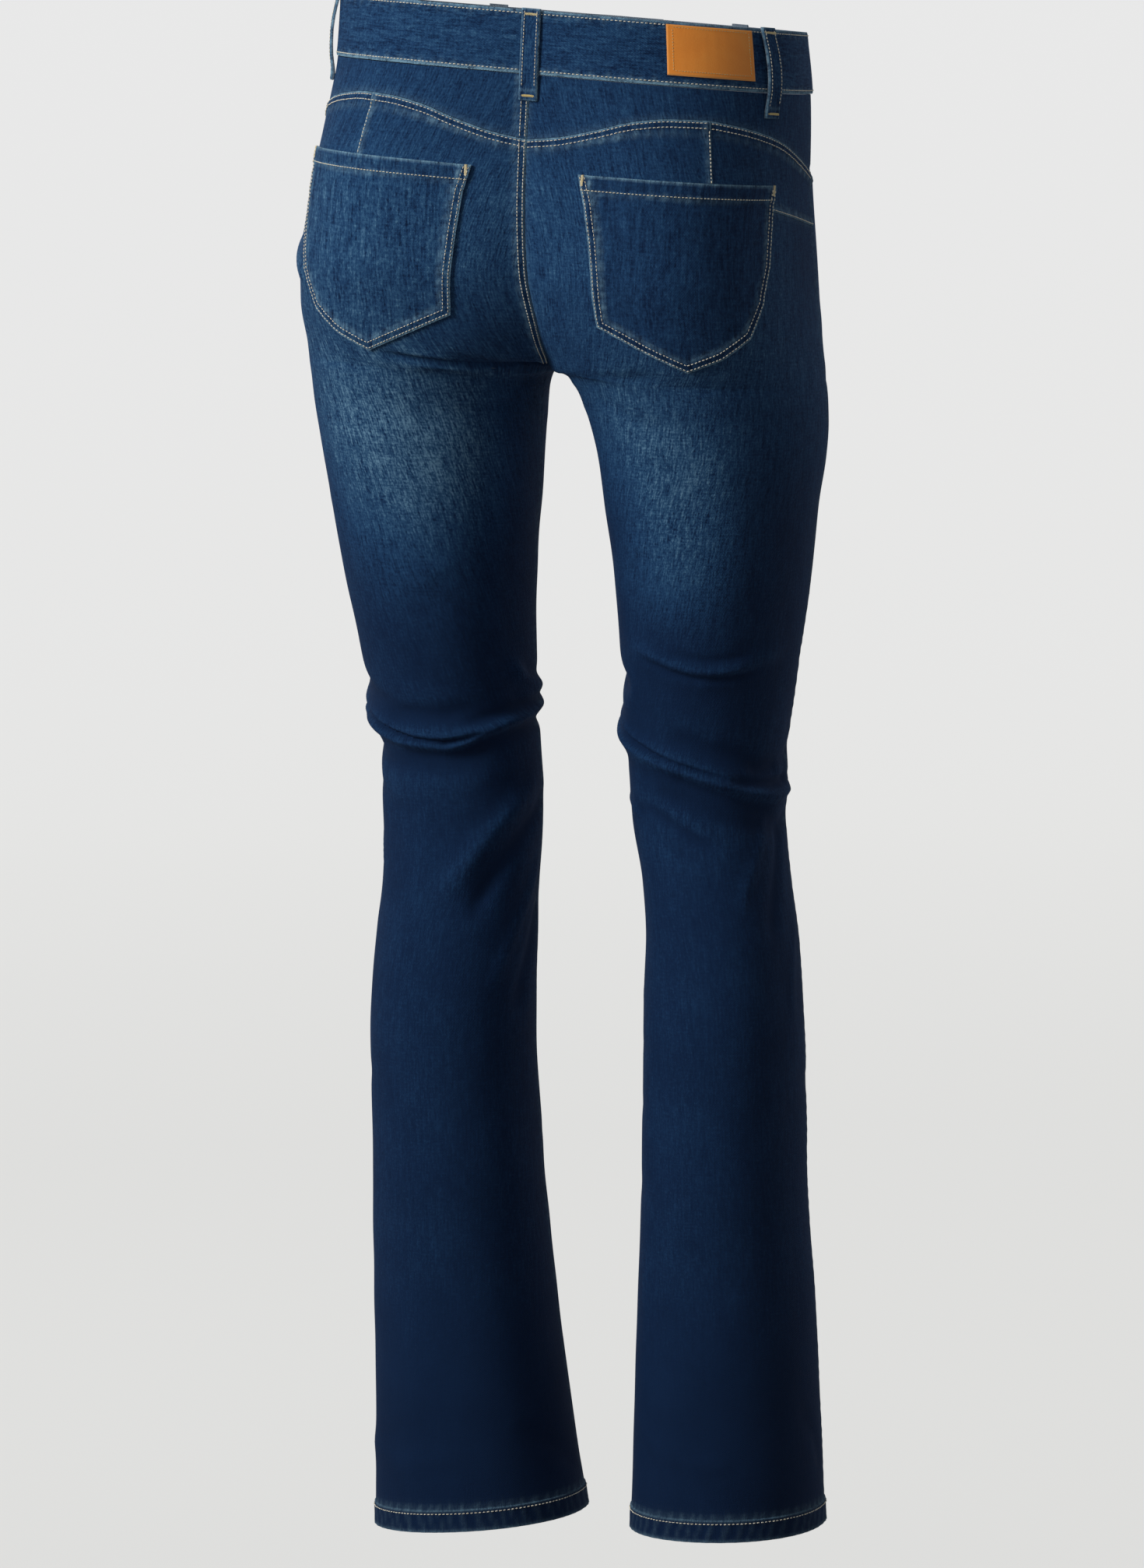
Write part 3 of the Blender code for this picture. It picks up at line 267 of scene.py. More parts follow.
def section(side, z):
    """The level section of one side: (points, arc length at each, the same at the widest, is a leg)."""
    if z > CROTCH:
        middle, left, right, front, back, cf, cb, share_f, share_b, side_y, power = [f(z) for f in TORSO_AT]
        out = left if side == "left" else right
        cf = rise(z, RISE_FRONT_FROM, cf) if z < RISE_FRONT_FROM else cf
        cb = rise(z, RISE_BACK_FROM, cb) if z < RISE_BACK_FROM else cb
        mid_y = side_y + (CROTCH_Y - side_y) * smooth(-10.0, CROTCH, z)
        apex_f, apex_b = share_f * out, share_b * out
        ratio_f = (mid_y - cf) / (mid_y - front)
        ratio_b = (cb - mid_y) / (back - mid_y)
        reach_f = apex_f / (1.0 - max(ratio_f, 0.0) ** power) ** (1.0 / power)
        reach_b = apex_b / (1.0 - max(ratio_b, 0.0) ** power) ** (1.0 / power)
        end_f = math.asin(min(1.0, (apex_f / reach_f) ** (power / 2.0)))
        end_b = math.asin(min(1.0, (apex_b / reach_b) ** (power / 2.0)))
        start = SIGN[side] * middle
    else:
        front, back, side_y = [LEGS_AT[k](z) for k in (4, 5, 6)]
        outer = LEGS_AT[1 if side == "left" else 3](z)
        inner = INNER_AT[side](math.sqrt(max(CROTCH - z, 0.0)))
        start = SIGN[side] * TORSO_AT[0](CROTCH)
        out = outer - start
        apex_f = apex_b = 0.5 * (outer + inner) - start
        reach_f = reach_b = apex_f - (inner - start)
        end_f = end_b = math.pi / 2
        mid_y = side_y
        power = 2.1
    # Angles bunch up toward both ends, where a rounded square turns fastest
    share = 0.5 - 0.5 * np.cos(np.linspace(0.0, math.pi, ARC))
    right_angle = math.pi / 2
    front_in = quarter((apex_f, mid_y), (-reach_f, front - mid_y), end_f * share[::-1], power)
    front_out = quarter((apex_f, side_y), (out - apex_f, front - side_y), right_angle * share, power)
    back_out = quarter((apex_b, side_y), (out - apex_b, back - side_y), right_angle * share[::-1], power)
    back_in = quarter((apex_b, mid_y), (-reach_b, back - mid_y), end_b * share, power)
    path = np.concatenate([front_in, front_out[1:], back_out[1:], back_in[1:]])
    path[:, 0] += start
    arc = arc_along(path)
    return path, arc, arc[2 * ARC - 2], z <= CROTCH


def levels():
    """Heights at which the form is worked out, top first, close together at the crotch."""
    above = np.linspace(0.0, 1.0, 60) ** 2.2 * 9.0
    rest = np.arange(9.25, 0.6 - CROTCH, 0.25)
    below = np.linspace(0.0, 1.0, 30)[1:] ** 2 * 4.0
    legs = np.arange(4.25, 81.0, 0.25)
    up = CROTCH + np.concatenate([above, rest])
    return np.concatenate([up[::-1], CROTCH - below, CROTCH - legs])


LEVELS = levels()


def dense(side):
    """Points of the outer surface, at every level and at 2 * HALF - 1 places round it."""
    points = np.zeros((len(LEVELS), 2 * HALF - 1, 3))
    lengths = np.zeros((len(LEVELS), 2))
    for k, z in enumerate(LEVELS):
        path, arc, widest, leg = section(side, min(z, 0.0))
        total = arc[-1]
        seam = widest - SIDE_SEAM_FORWARD
        first = INSEAM_FORWARD * float(smooth(0.0, 9.0, CROTCH - z)) if leg else 0.0
        front = np.linspace(first, seam, HALF)
        back = np.linspace(seam, total + first, HALF)[1:]
        place = np.concatenate([front, back])
        place = np.where(place > total, place - total, place)
        points[k, :, 0] = SIGN[side] * np.interp(place, arc, path[:, 0])
        points[k, :, 1] = np.interp(place, arc, path[:, 1])
        points[k, :, 2] = z
        lengths[k] = seam - first, total + first - seam
    points = pose(points, side)
    return points, normals_of(points), lengths


def pose(points, side):
    x, y, z = points[..., 0], points[..., 1], points[..., 2]
    roll = ROLL * (1.0 - smooth(-8.0, -48.0, z))
    tip = TIP * (1.0 - smooth(0.0, -14.0, z))
    if side == "left":
        tilt = -0.10 * (x - 6.4)
    else:
        tilt = 0.5 - 0.035 * (x + 11.6)
    hem = smooth(-82.0, -104.5, z) * tilt
    moved = points.copy()
    moved[..., 2] = z + roll * x + tip * y + hem
    return moved


def normals_of(points):
    along = np.gradient(points, axis=1)
    down = np.gradient(points, axis=0)
    normal = np.cross(along, down)
    normal /= np.maximum(np.linalg.norm(normal, axis=2, keepdims=True), 1e-12)
    # Points outward: at the side seam it looks away from the middle
    middle = points[:, HALF - 1, 0] * normal[:, HALF - 1, 0]
    normal *= np.where(middle > 0, 1.0, -1.0)[:, None, None]
    legs = LEVELS <= CROTCH
    mean = normal[legs, 0] + normal[legs, -1]
    mean /= np.linalg.norm(mean, axis=1, keepdims=True)
    normal[legs, 0] = mean
    normal[legs, -1] = mean
    return normal


SURFACE = {side: dense(side) for side in SIGN}


def lengths_at(side, z):
    """(front length, back length) of one side at this height, round the cloth, in cm."""
    table = SURFACE[side][2]
    return [np.interp(-z, -LEVELS, table[:, k]) for k in (0, 1)]


def level_of(z):
    """Place of a height in the list of levels."""
    return np.interp(-z, -LEVELS, np.arange(len(LEVELS)))


def between_cells(grid, row, col):
    """The grid's value between its cells, where row and col have fractions."""
    r, c = row.astype(int), col.astype(int)
    r, c = np.minimum(r, grid.shape[0] - 2), np.minimum(c, grid.shape[1] - 2)
    a, b = row - r, col - c
    if grid.ndim == 3:
        a, b = a[..., None], b[..., None]
    top = grid[r, c] * (1 - b) + grid[r, c + 1] * b
    foot = grid[r + 1, c] * (1 - b) + grid[r + 1, c + 1] * b
    return top * (1 - a) + foot * a


def blend(grid, v, z):
    return between_cells(grid, level_of(z), np.clip(v, 0.0, 2.0) * (HALF - 1))


def across(side, v, z):
    """Distance round the cloth from the side seam in cm, back positive."""
    front, back = lengths_at(side, z)
    w = np.where(v < 1.0, (v - 1.0) * front, (v - 1.0) * back)
    return np.where(v > 2.0, back + (v - 2.0) * front, w)


# Share of a fold's length over which it dies away at each end
FOLD_TAPER = 0.22


def fold_height(side, v, z, line, height, half):
    """Height in mm, at this place, of the fold along a line."""
    w = across(side, v, z)
    lv, lz = np.array(line).T
    lw = across(side, lv, lz)
    best = np.full(np.shape(w), 1e9)
    taper = np.zeros(np.shape(w))
    count = len(line) - 1
    # A fold that runs past the inseam goes on at the other end of the round
    whole = sum(lengths_at(side, z))
    turns = (0.0, 1.0) if lv.max() > 2 else (0.0,)
    for k in range(count):
        dw, dz = lw[k + 1] - lw[k], lz[k + 1] - lz[k]
        for turn in turns:
            here = w + turn * whole
            t = np.clip(((here - lw[k]) * dw + (z - lz[k]) * dz) / (dw * dw + dz * dz), 0.0, 1.0)
            d = np.hypot(here - lw[k] - t * dw, z - lz[k] - t * dz)
            share = (k + t) / count
            fade = smooth(0.0, FOLD_TAPER, share) * (1.0 - smooth(1.0 - FOLD_TAPER, 1.0, share))
            taper = np.where(d < best, fade, taper)
            best = np.minimum(best, d)
    return height * taper * np.exp(-0.5 * (best / (0.6 * half)) ** 2)


def shifted(line, by):
    return tuple((v, z + by) for v, z in line)


def rolled(line, depth, lip, roll, half=0.22):
    """A tuck in the cloth: a sharp hollow, a soft lip above it and a rolled edge below it."""
    return (line, -depth, half), (shifted(line, 0.38), lip, 0.36), (shifted(line, -0.46), roll, 0.38)


# Lines of the deep tucks at the knees and of the rolls of cloth beside them
LEFT_TUCK = ((0.76, -45.4), (0.9, -45.6), (1.0, -46.2), (1.1, -47.3), (1.2, -48.1), (1.29, -48.6),
             (1.38, -49.15), (1.46, -49.5), (1.55, -49.65), (1.61, -49.4), (1.66, -49.05), (1.7, -48.8))
LEFT_ROLL = ((1.54, -49.8), (1.62, -49.35), (1.69, -48.85), (1.77, -48.4), (1.87, -48.15),
             (1.99, -47.9), (2.12, -47.7), (2.26, -47.4), (2.4, -47.2))
RIGHT_TUCK = ((2.3, -45.6), (2.16, -45.9), (2.05, -46.5), (1.95, -47.4), (1.85, -48.3), (1.75, -49.0),
              (1.66, -49.6), (1.58, -50.2), (1.5, -50.75), (1.42, -51.3), (1.34, -51.9), (1.28, -52.3))
RIGHT_ROLL = ((1.52, -50.9), (1.45, -51.4), (1.38, -52.0), (1.32, -52.45), (1.25, -52.8),
              (1.13, -53.15), (1.0, -53.05), (0.86, -52.6), (0.72, -52.0), (0.58, -51.6))

# Finer folds on top of those of the solids, set down in the same way
FINE = {
    "left": (
        *rolled(LEFT_TUCK, 4.0, 1.2, 2.3),
        *rolled(((1.57, -23.0), (1.64, -23.35), (1.71, -23.6), (1.79, -23.85), (1.87, -23.95),
                (1.95, -23.9), (2.03, -23.8), (2.1, -23.8)), 3.6, 0.8, 1.8, 0.28),
        *rolled(((0.9, -47.2), (0.75, -48.4), (0.58, -49.2), (0.4, -49.0), (0.26, -48.2)), 1.6, 0.8,
                0.9, 0.25),
        (((1.5, -49.85), (1.56, -49.75), (1.61, -49.5), (1.66, -49.1), (1.69, -48.9)), -1.6, 0.3),
        (LEFT_ROLL, 3.2, 0.42),
        (((0.05, -21.2), (0.26, -19.4), (0.52, -18.2)), -1.5, 0.8),
        (((0.08, -18.8), (0.28, -17.4), (0.46, -16.8)), -1.1, 0.8),
        (((0.12, -23.8), (0.36, -22.2), (0.66, -21.4)), -1.4, 0.9),
        (((1.72, -23.1), (1.84, -23.5), (1.95, -23.75), (2.08, -23.9)), -3.0, 0.4),
        (((0.86, -45.8), (0.98, -46.8), (1.08, -47.6), (1.18, -48.4)), 2.4, 0.6),
        (((1.84, -44.8), (1.95, -45.5), (2.1, -45.8), (2.25, -45.9)), -2.2, 0.7),
        (((1.82, -46.6), (1.92, -47.0), (2.02, -47.1), (2.15, -46.9), (2.3, -46.8)), 2.4, 0.8),
        (shifted(LEFT_ROLL, 0.75), -2.2, 0.5),
        (shifted(LEFT_ROLL, -0.95), -2.4, 0.6),
        (((1.36, -50.3), (1.46, -50.7), (1.55, -50.8), (1.64, -50.5), (1.74, -49.9)), -1.6, 0.6),
        (((1.98, -52.2), (1.88, -53.0), (1.79, -54.2), (1.71, -55.6), (1.65, -57.0), (1.6, -58.6),
          (1.56, -60.6)), 1.8, 0.8),
        (((2.06, -53.4), (1.95, -54.6), (1.85, -56.0), (1.77, -57.4), (1.71, -58.8), (1.66, -60.6),
          (1.64, -62.4)), -3.2, 0.9),
        (((1.97, -57.2), (1.93, -59.2), (1.86, -61.2), (1.8, -63.0), (1.75, -65.0), (1.72, -67.6)), 1.7,
          0.7),
        (((2.04, -60.0), (1.96, -62.4), (1.9, -64.4), (1.86, -66.4), (1.83, -69.4)), -2.4, 1.0),
        (((1.08, -55.0), (1.14, -56.6), (1.2, -57.8), (1.24, -59.0)), 0.7, 0.3),
        (((1.1, -52.0), (1.3, -54.2), (1.45, -55.0)), -0.8, 0.7),
        (((1.6, -24.15), (1.66, -24.35), (1.72, -24.6), (1.79, -24.8)), -0.8, 0.3),
        (((1.68, -26.3), (1.75, -26.1), (1.84, -25.9), (1.94, -25.6)), 0.6, 0.24),
        (((1.66, -26.9), (1.74, -26.7), (1.83, -26.5), (1.92, -26.3)), -0.6, 0.4),
        (((0.12, -22.6), (0.35, -21.8), (0.6, -20.9)), -1.2, 0.5),
        (((0.1, -25.6), (0.3, -25.4), (0.55, -24.6)), -1.1, 0.5),
        (((0.2, -53.6), (0.4, -54.8), (0.6, -54.6), (0.8, -53.4)), -1.2, 0.5),
        (((0.2, -43.4), (0.45, -44.4), (0.7, -43.6)), -1.1, 0.5),
        (((1.1, -98.0), (1.35, -99.6), (1.6, -99.0)), 0.8, 0.9),
        (((1.7, -97.0), (1.85, -99.5), (1.95, -101.5)), -0.9, 0.8),
    ),
    "right": (
        *rolled(RIGHT_TUCK, 3.6, 1.2, 1.8),
        *rolled(((1.7, -23.9), (1.78, -24.2), (1.86, -24.35), (1.95, -24.3), (2.04, -24.2)), 1.0, 0.3,
                0.5, 0.3),
        *rolled(((0.22, -47.4), (0.4, -48.6), (0.56, -49.1), (0.72, -48.6), (0.86, -47.6)), 1.7, 0.8,
                0.9, 0.25),
        (((0.04, -20.6), (0.22, -19.0), (0.44, -17.6)), -1.4, 0.8),
        (((0.1, -22.8), (0.34, -21.4), (0.62, -20.8)), -1.6, 0.9),
        (((0.1, -25.0), (0.3, -23.8), (0.52, -23.2)), -1.1, 0.8),
        (((2.3, -45.2), (2.14, -45.6), (2.0, -46.3), (1.9, -47.2)), 2.0, 0.7),
        (((1.68, -42.3), (1.62, -42.9), (1.55, -43.5), (1.49, -43.9), (1.42, -44.05), (1.35, -43.95),
          (1.26, -43.4)), 1.5, 0.34),
        (((1.66, -42.9), (1.6, -43.6), (1.54, -44.15), (1.47, -44.55), (1.4, -44.65), (1.32, -44.45),
          (1.22, -43.8)), -2.5, 0.34),
        (((1.56, -42.6), (1.49, -43.1), (1.42, -43.3), (1.35, -43.1), (1.3, -42.8)), -0.9, 0.34),
        (RIGHT_ROLL, 2.2, 0.38),
        (((1.62, -51.0), (1.54, -51.7), (1.46, -52.3), (1.39, -52.8), (1.32, -53.3), (1.24, -53.8),
          (1.12, -54.2)), -2.8, 0.6),
        (((1.37, -51.5), (1.31, -51.95), (1.24, -52.15), (1.16, -52.2), (1.07, -52.1), (1.0, -51.9)),
          -4.4, 0.5),
        (((1.3, -51.0), (1.22, -51.2), (1.12, -51.2)), -1.6, 0.6),
        (((1.68, -53.3), (1.62, -54.1), (1.56, -54.8), (1.5, -55.5), (1.44, -56.1), (1.38, -56.4)),
          -2.0, 0.42),
        (((1.72, -53.8), (1.66, -54.6), (1.6, -55.4), (1.53, -56.1), (1.46, -56.7)), 1.0, 0.36),
        (((1.9, -53.1), (1.83, -53.6), (1.76, -54.2), (1.7, -54.7), (1.66, -55.2)), 0.8, 0.2),
        (((1.2, -53.9), (1.22, -55.4), (1.27, -57.2), (1.33, -59.2), (1.36, -61.4)), 1.2, 0.55),
        (((1.1, -54.6), (1.13, -56.6), (1.17, -58.6), (1.21, -60.8), (1.24, -63.2)), -2.4, 0.8),
        (((1.04, -61.0), (1.1, -63.4), (1.13, -66.0), (1.14, -69.0)), 0.8, 0.6),
        (((1.72, -25.0), (1.65, -25.9), (1.58, -26.8), (1.52, -27.6)), -0.8, 0.6),
        (((0.12, -22.8), (0.34, -22.0), (0.62, -21.2)), -1.2, 0.5),
        (((0.1, -25.8), (0.32, -25.2), (0.5, -24.4)), -1.1, 0.5),
        (((0.25, -53.8), (0.5, -55.0), (0.8, -53.8)), -1.3, 0.5),
        (((0.3, -43.0), (0.5, -43.9), (0.74, -43.4)), -1.1, 0.5),
        (((1.8, -96.0), (1.6, -98.6), (1.35, -99.2)), 0.8, 0.9),
        (((1.2, -95.0), (1.1, -98.0), (1.05, -101.0)), -0.9, 0.8),
    ),
}

FIELD_STEP = 0.08
FIELD_Z = np.arange(0.8, -105.4, -FIELD_STEP)
FIELD_V = np.linspace(0.0, 2.0, 401)
WRINKLE_SEED = 11
# Cells each way over which a crease is told from its surroundings
CREASE_REACH = 9
# Short creases: middle height, scatter of heights, count
CREASES = ((-50.0, 6.0, 26), (-27.0, 4.0, 14), (-98.0, 4.0, 10), (-72.0, 14.0, 12), (-36.0, 7.0, 8))


def soft_wrinkles(points, z, seed):
    """Shallow wrinkles from seeded draws, worked out in space so that they run on over every seam."""
    draw = np.random.default_rng(seed)
    total = np.zeros(z.shape)
    for _ in range(26):
        wave = draw.normal(size=3) * np.array([1.0, 1.0, 0.8])
        wave *= 2 * math.pi / draw.uniform(4.0, 11.0) / np.linalg.norm(wave)
        total += draw.uniform(0.03, 0.09) * np.sin(points @ wave + draw.uniform(0, 2 * math.pi))
    # Most of the short creases lie at the knees, under the seat and above the hems
    for middle, scatter, count in CREASES:
        for _ in range(count):
            row = int(np.clip(np.searchsorted(-FIELD_Z, -draw.normal(middle, scatter)), 8, len(FIELD_Z) - 9))
            col = int(draw.integers(0, len(FIELD_V) - 1))
            start = points[row, col]
            tangent = points[row, min(col + 1, len(FIELD_V) - 1)] - points[row, max(col - 1, 0)]
            tangent /= np.linalg.norm(tangent)
            half = draw.uniform(1.2, 4.0)
            direction = tangent + np.array([0.0, 0.0, draw.normal(0.0, 0.35)])
            direction /= np.linalg.norm(direction)
            width = draw.uniform(0.25, 0.6)
            height = draw.uniform(0.2, 0.6) * draw.choice([-1.0, 1.0])
            window = slice(max(row - 60, 0), row + 60)
            away = points[window] - start
            along = np.clip(away @ direction, -half, half)
            gap = np.linalg.norm(away - along[..., None] * direction, axis=-1)
            fade_out = 1.0 - smooth(0.4 * half, half, np.abs(along))
            total[window] += height * fade_out * np.exp(-0.5 * (gap / width) ** 2)
    return total


def blurred(grid, reach):
    """The grid smoothed by three running means over a few cells each way."""
    for axis in (0, 1):
        for _ in range(3):
            pads = [(0, 0), (0, 0)]
            pads[axis] = (reach + 1, reach)
            run = np.cumsum(np.pad(grid, pads, mode="edge"), axis=axis)
            far, near = (slice(2 * reach + 1, None), slice(0, -2 * reach - 1))
            grid = (run[far] - run[near] if axis == 0 else run[:, far] - run[:, near]) / (2 * reach + 1)
    return grid


def make_relief():
    """Height of all folds over each side, in mm, and how far each place stands out from those around it."""
    found, creased = {}, {}
    v, z = np.meshgrid(FIELD_V, FIELD_Z)
    calm = smooth(-14.0, -22.0, z) * (1.0 - smooth(-101.0, -103.0, z))
    for number, side in enumerate(SIGN):
        total = np.zeros(z.shape)
        for line, height, half in FOLDS[side] + FINE[side]:
            heights = [z_at for _, z_at in line]
            near = (FIELD_Z < max(heights) + 3.0 * half) & (FIELD_Z > min(heights) - 3.0 * half)
            total[near] += fold_height(side, v[near], z[near], line, height, half)
        wrinkles = soft_wrinkles(blend(SURFACE[side][0], v, z), z, WRINKLE_SEED + number)
        total = total + wrinkles * (0.35 + 0.65 * calm) * (1.0 - smooth(-5.5, -4.0, z))
        found[side] = total
        creased[side] = total - blurred(total, CREASE_REACH)
    return found, creased


RELIEF, CREASED = make_relief()


def relief_at(side, v, z, grids=RELIEF):
    row = np.clip((FIELD_Z[0] - z) / FIELD_STEP, 0.0, len(FIELD_Z) - 1.001)
    col = np.clip(v, 0.0, 2.0) * 0.5 * (len(FIELD_V) - 1.001)
    return between_cells(grids[side], row, col)


def base(side, v, z):
    v, z = np.broadcast_arrays(np.asarray(v, float), np.asarray(z, float))
    point = blend(SURFACE[side][0], v, z)
    normal = blend(SURFACE[side][1], v, z)
    normal /= np.linalg.norm(normal, axis=-1, keepdims=True)
    return v, z, point, normal


def place(side, v, z, out=0.0):
    """Points in metres at (v, z), moved out from the cloth's outer surface."""
    v, z, point, normal = base(side, v, z)
    lift = relief_at(side, v, z) * MM + out
    return point * CM + normal * np.asarray(lift)[..., None]


def normal_at(side, v, z):
    return base(side, v, z)[3]


WAIST_BACK = {side: SURFACE[side][2][0, 1] for side in SIGN}


def seam_away(side, v):
    """Distance from centre back round the waist, which the yoke and insert tables use."""
    return (2.0 - v) * WAIST_BACK[side]


def pucker(s, phase):
    """The uneven gathers along a sewn edge, -1 to 1."""
    return np.sin(2 * math.pi * s / 0.86 + 1.4 * np.sin(2 * math.pi * s / 4.7 + phase) + phase)


def crests(s, phase):
    """The raised gathers alone, 0 to 1."""
    return np.clip(pucker(s, phase), 0.0, 1.0)


def strip(d, width, height):
    """A folded allowance that stands proud from the seam to its width, with a rounded edge."""
    return height * (1.0 - smooth(width, width + 0.22, d)) * (1.0 - 0.5 * bell(d, 0.07))


def edge_wear(d, width, s, phase):
    """Worn light cloth on a folded edge, on its gathers and where the allowance ends under the cloth."""
    line = bell(d, 0.11, 0.02)
    crest = crests(s, phase)
    between = bell(d, 0.42 * width, 0.5 * width) * (crest * 0.16 - 0.10)
    far = bell(d - width, 0.14, 0.08) * (0.22 + 0.38 * crest)
    return line * (0.85 + 0.25 * crest) + between + far


def panel_look(kind, side, v, z):
    """(lift in metres, wear) of a panel's outer face."""
    lift = np.zeros(v.shape)
    wear = np.zeros(v.shape)
    front, back = lengths_at(side, z)
    length = np.where(v > 1.0, back, front)
    away = seam_away(side, v)
    yoke_z = YOKE_AT(away)
    foot_z = INSERT_FOOT_AT(away)
    left = side == "left"

    def add(d, s, width, height, phase, strength=1.0):
        nonlocal lift, wear
        near = d >= -0.02
        ripple = pucker(s, phase) * 0.16 * (1.0 - smooth(width, width + 0.5, d))
        lift = lift + np.where(near, strip(d, width, height) + ripple, 0.0)
        wear = wear + np.where(near, edge_wear(d, width, s, phase), 0.0) * strength

    if kind in ("back", "insert"):
        add(yoke_z - z, away, 0.62, 0.8, 1.0)
    if kind == "yoke":
        d = z - yoke_z
        wear += 0.12 * bell(d, 0.3)
    if kind in ("back", "yoke"):
        d = np.where(z > CROTCH, (2.0 - v) * back, FAR)
        if left:
            add(d, z, 0.66, 0.8, 2.0)
        else:
            wear += 0.10 * bell(d, 0.25)
    if kind == "back":
        d = foot_z - z
        use = (v < 2.0 - SHORT_SEAM[side]) & (d > -0.01)
        ripple = pucker(away, 3.0) * 0.12 * (1.0 - smooth(0.2, 0.6, d))
        lift += np.where(use, ripple, 0.0)
        wear += np.where(use, 0.12 * bell(d, 0.2), 0.0)
        d = np.where(z > foot_z - 0.02, (v - 2.0 + SHORT_SEAM[side]) * back, FAR)
        add(d, z, 0.26, 0.6, 0.6, 0.9)
    if kind == "insert":
        add(z - foot_z, away, 0.22, 0.5, 2.6, 0.8)
    if kind != "facing":
        # Side seam
        d = np.abs(v - 1.0) * length
        edge = bell(d, 0.55)
        if kind == "front":
            edge = bell(d, 0.45) * smooth(OPENING_FOOT + 0.3, OPENING_FOOT - 0.3, z)
        lift += edge * (0.25 + 0.14 * pucker(z, 0.4)) - 0.35 * bell(d, 0.05)
        wear += edge * (0.07 + 0.13 * crests(z, 0.4))
    if kind in ("back", "front"):
        # Inseam
        d = np.where(z < CROTCH + 0.1, np.minimum(v, 2.0 - v) * length, FAR)
        edge = bell(d, 0.5) * smooth(-24.1, -27.0, z)
        lift += edge * (0.22 + 0.14 * pucker(z, 2.4)) - 0.35 * bell(d, 0.05)
        wear += edge * (0.07 + 0.13 * crests(z, 2.4))
        # Hem band: roped by its stitching
        s = v * length
        twist = s + 0.45 * (z - HEM_TOP)
        band = smooth(HEM_TOP + 0.02, HEM_TOP - 0.25, z)
        above = bell(z, 0.35, HEM_TOP) * (z > HEM_TOP)
        lift += band * (pucker(twist, 0.9) * 0.22) + above * 0.12 * pucker(s, 0.9)
        low = bell(z, 0.16, HEM_FOOT)
        wear += low * 0.30 + band * crests(twist, 0.9) * 0.09
        wear += above * (0.10 + 0.2 * crests(s, 0.9))
        wear += 0.35 * bell(z, 0.06, HEM_TOP)
    if kind == "front":
        if left:
            add(np.where(z > CROTCH, v * front, FAR), z, 0.25, 0.6, 1.6)
        # Edge of the pocket opening
        t = opening(np.clip(z, OPENING_FOOT, PANEL_TOP))
        d = np.where(z > OPENING_FOOT - 0.2, (t - v) * front, FAR)
        add(np.maximum(d, -0.01), z, 0.8, 0.6, 0.2)
    return lift * MM + hem_at(z), np.clip(wear, -0.2, 1.2)


def hem_at(z, proud=HEM_PROUD):
    """How far the folded hem stands out."""
    return np.where(z <= HEM_TOP + 0.001, proud, 0.0)


def opening(z):
    """v of the slash pocket opening at this height, 1 below it."""
    t = np.clip((z - OPENING_FOOT) / (PANEL_TOP - OPENING_FOOT), 0.0, 1.0)
    return 1.0 - (1.0 - OPENING_TOP) * (1.0 - (1.0 - t) ** 2.2) ** (1.0 / 2.2)


# Spots that lighten and darken the cloth on each side: v, height, half width and half height in cm, strength.
# Positive spots are the pale wash; the strong dark spot over the right side insert is painted shade
WASH_AND_SHADE = {
    "left": (
        (1.45, -29.2, 5.4, 7.0, 0.32), (1.38, -28.4, 3.4, 4.6, 0.14), (1.66, -29.6, 4.8, 5.8, 0.44),
        (1.54, -35.0, 5.2, 4.6, 0.18), (1.5, -15.0, 6.0, 6.0, 0.05), (1.84, -14.0, 3.6, 6.5, 0.02),
        (1.82, -21.5, 3.6, 3.0, -0.08), (0.42, -33.0, 4.0, 9.5, 0.4), (0.45, -52.0, 3.6, 6.0, 0.18),
    ),
    "right": (
        (1.5, -30.6, 4.8, 7.4, 0.4), (1.5, -36.5, 3.6, 5.0, 0.22), (1.66, -27.4, 2.8, 3.4, 0.14),
        # The spot at v 1.08, height -14.0 is painted shade over the right side insert
        (1.46, -25.2, 4.2, 2.2, -0.12), (1.08, -14.0, 3.6, 6.5, -0.24), (1.52, -44.0, 5.0, 4.6, -0.06),
        (1.84, -14.0, 3.6, 6.5, -0.05), (1.86, -21.0, 3.0, 3.4, -0.08), (0.42, -33.0, 4.0, 9.5, 0.4),
        (0.45, -52.0, 3.6, 6.0, 0.18),
    ),
}


def wash_wear_and_shade_at(side, v, z):
    """How light the cloth is: the wash with its lighter and darker spots, crease ridges made light, and
    painted shade in the crease hollows.
    """
    front, back = lengths_at(side, z)
    total = 0.02 + 0.36 * smooth(-37.0, -20.0, z) - 0.13 * smooth(-12.0, -8.0, z)
    total = total - 0.14 * smooth(-84.0, -99.0, z)
    for at, height, wide, tall, strength in WASH_AND_SHADE[side]:
        across_by = (v - at) * (back if at > 1 else front) / wide
        total += strength * np.exp(-(np.abs(across_by) ** 2.3) - np.abs((z - height) / tall) ** 2.3)
    # Crease ridges are made lighter, partly as wear and partly as painted highlight, and crease hollows
    # darker as painted shade
    crease = relief_at(side, v, z, CREASED)
    return total + np.clip(crease, -2.4, 1.6) * (0.055 + 0.05 * total)


def spread(points, step, near=()):
    """A finer list through the given ones, none further apart than the step, with extra ones beside each."""
    found = []
    for a, b in zip(points[:-1], points[1:]):
        count = max(1, int(math.ceil(abs(b - a) / step - 1e-9)))
        found += [a + (b - a) * k / count for k in range(count)]
    found.append(points[-1])
    for p in points:
        found += [p + d for d in near] + [p - d for d in near]
    low, high = min(points[0], points[-1]), max(points[0], points[-1])
    found = sorted({round(f, 6) for f in found if low <= f <= high}, reverse=bool(points[0] > points[-1]))
    return np.array(found)


SHARP_FROM = math.radians(55.0)


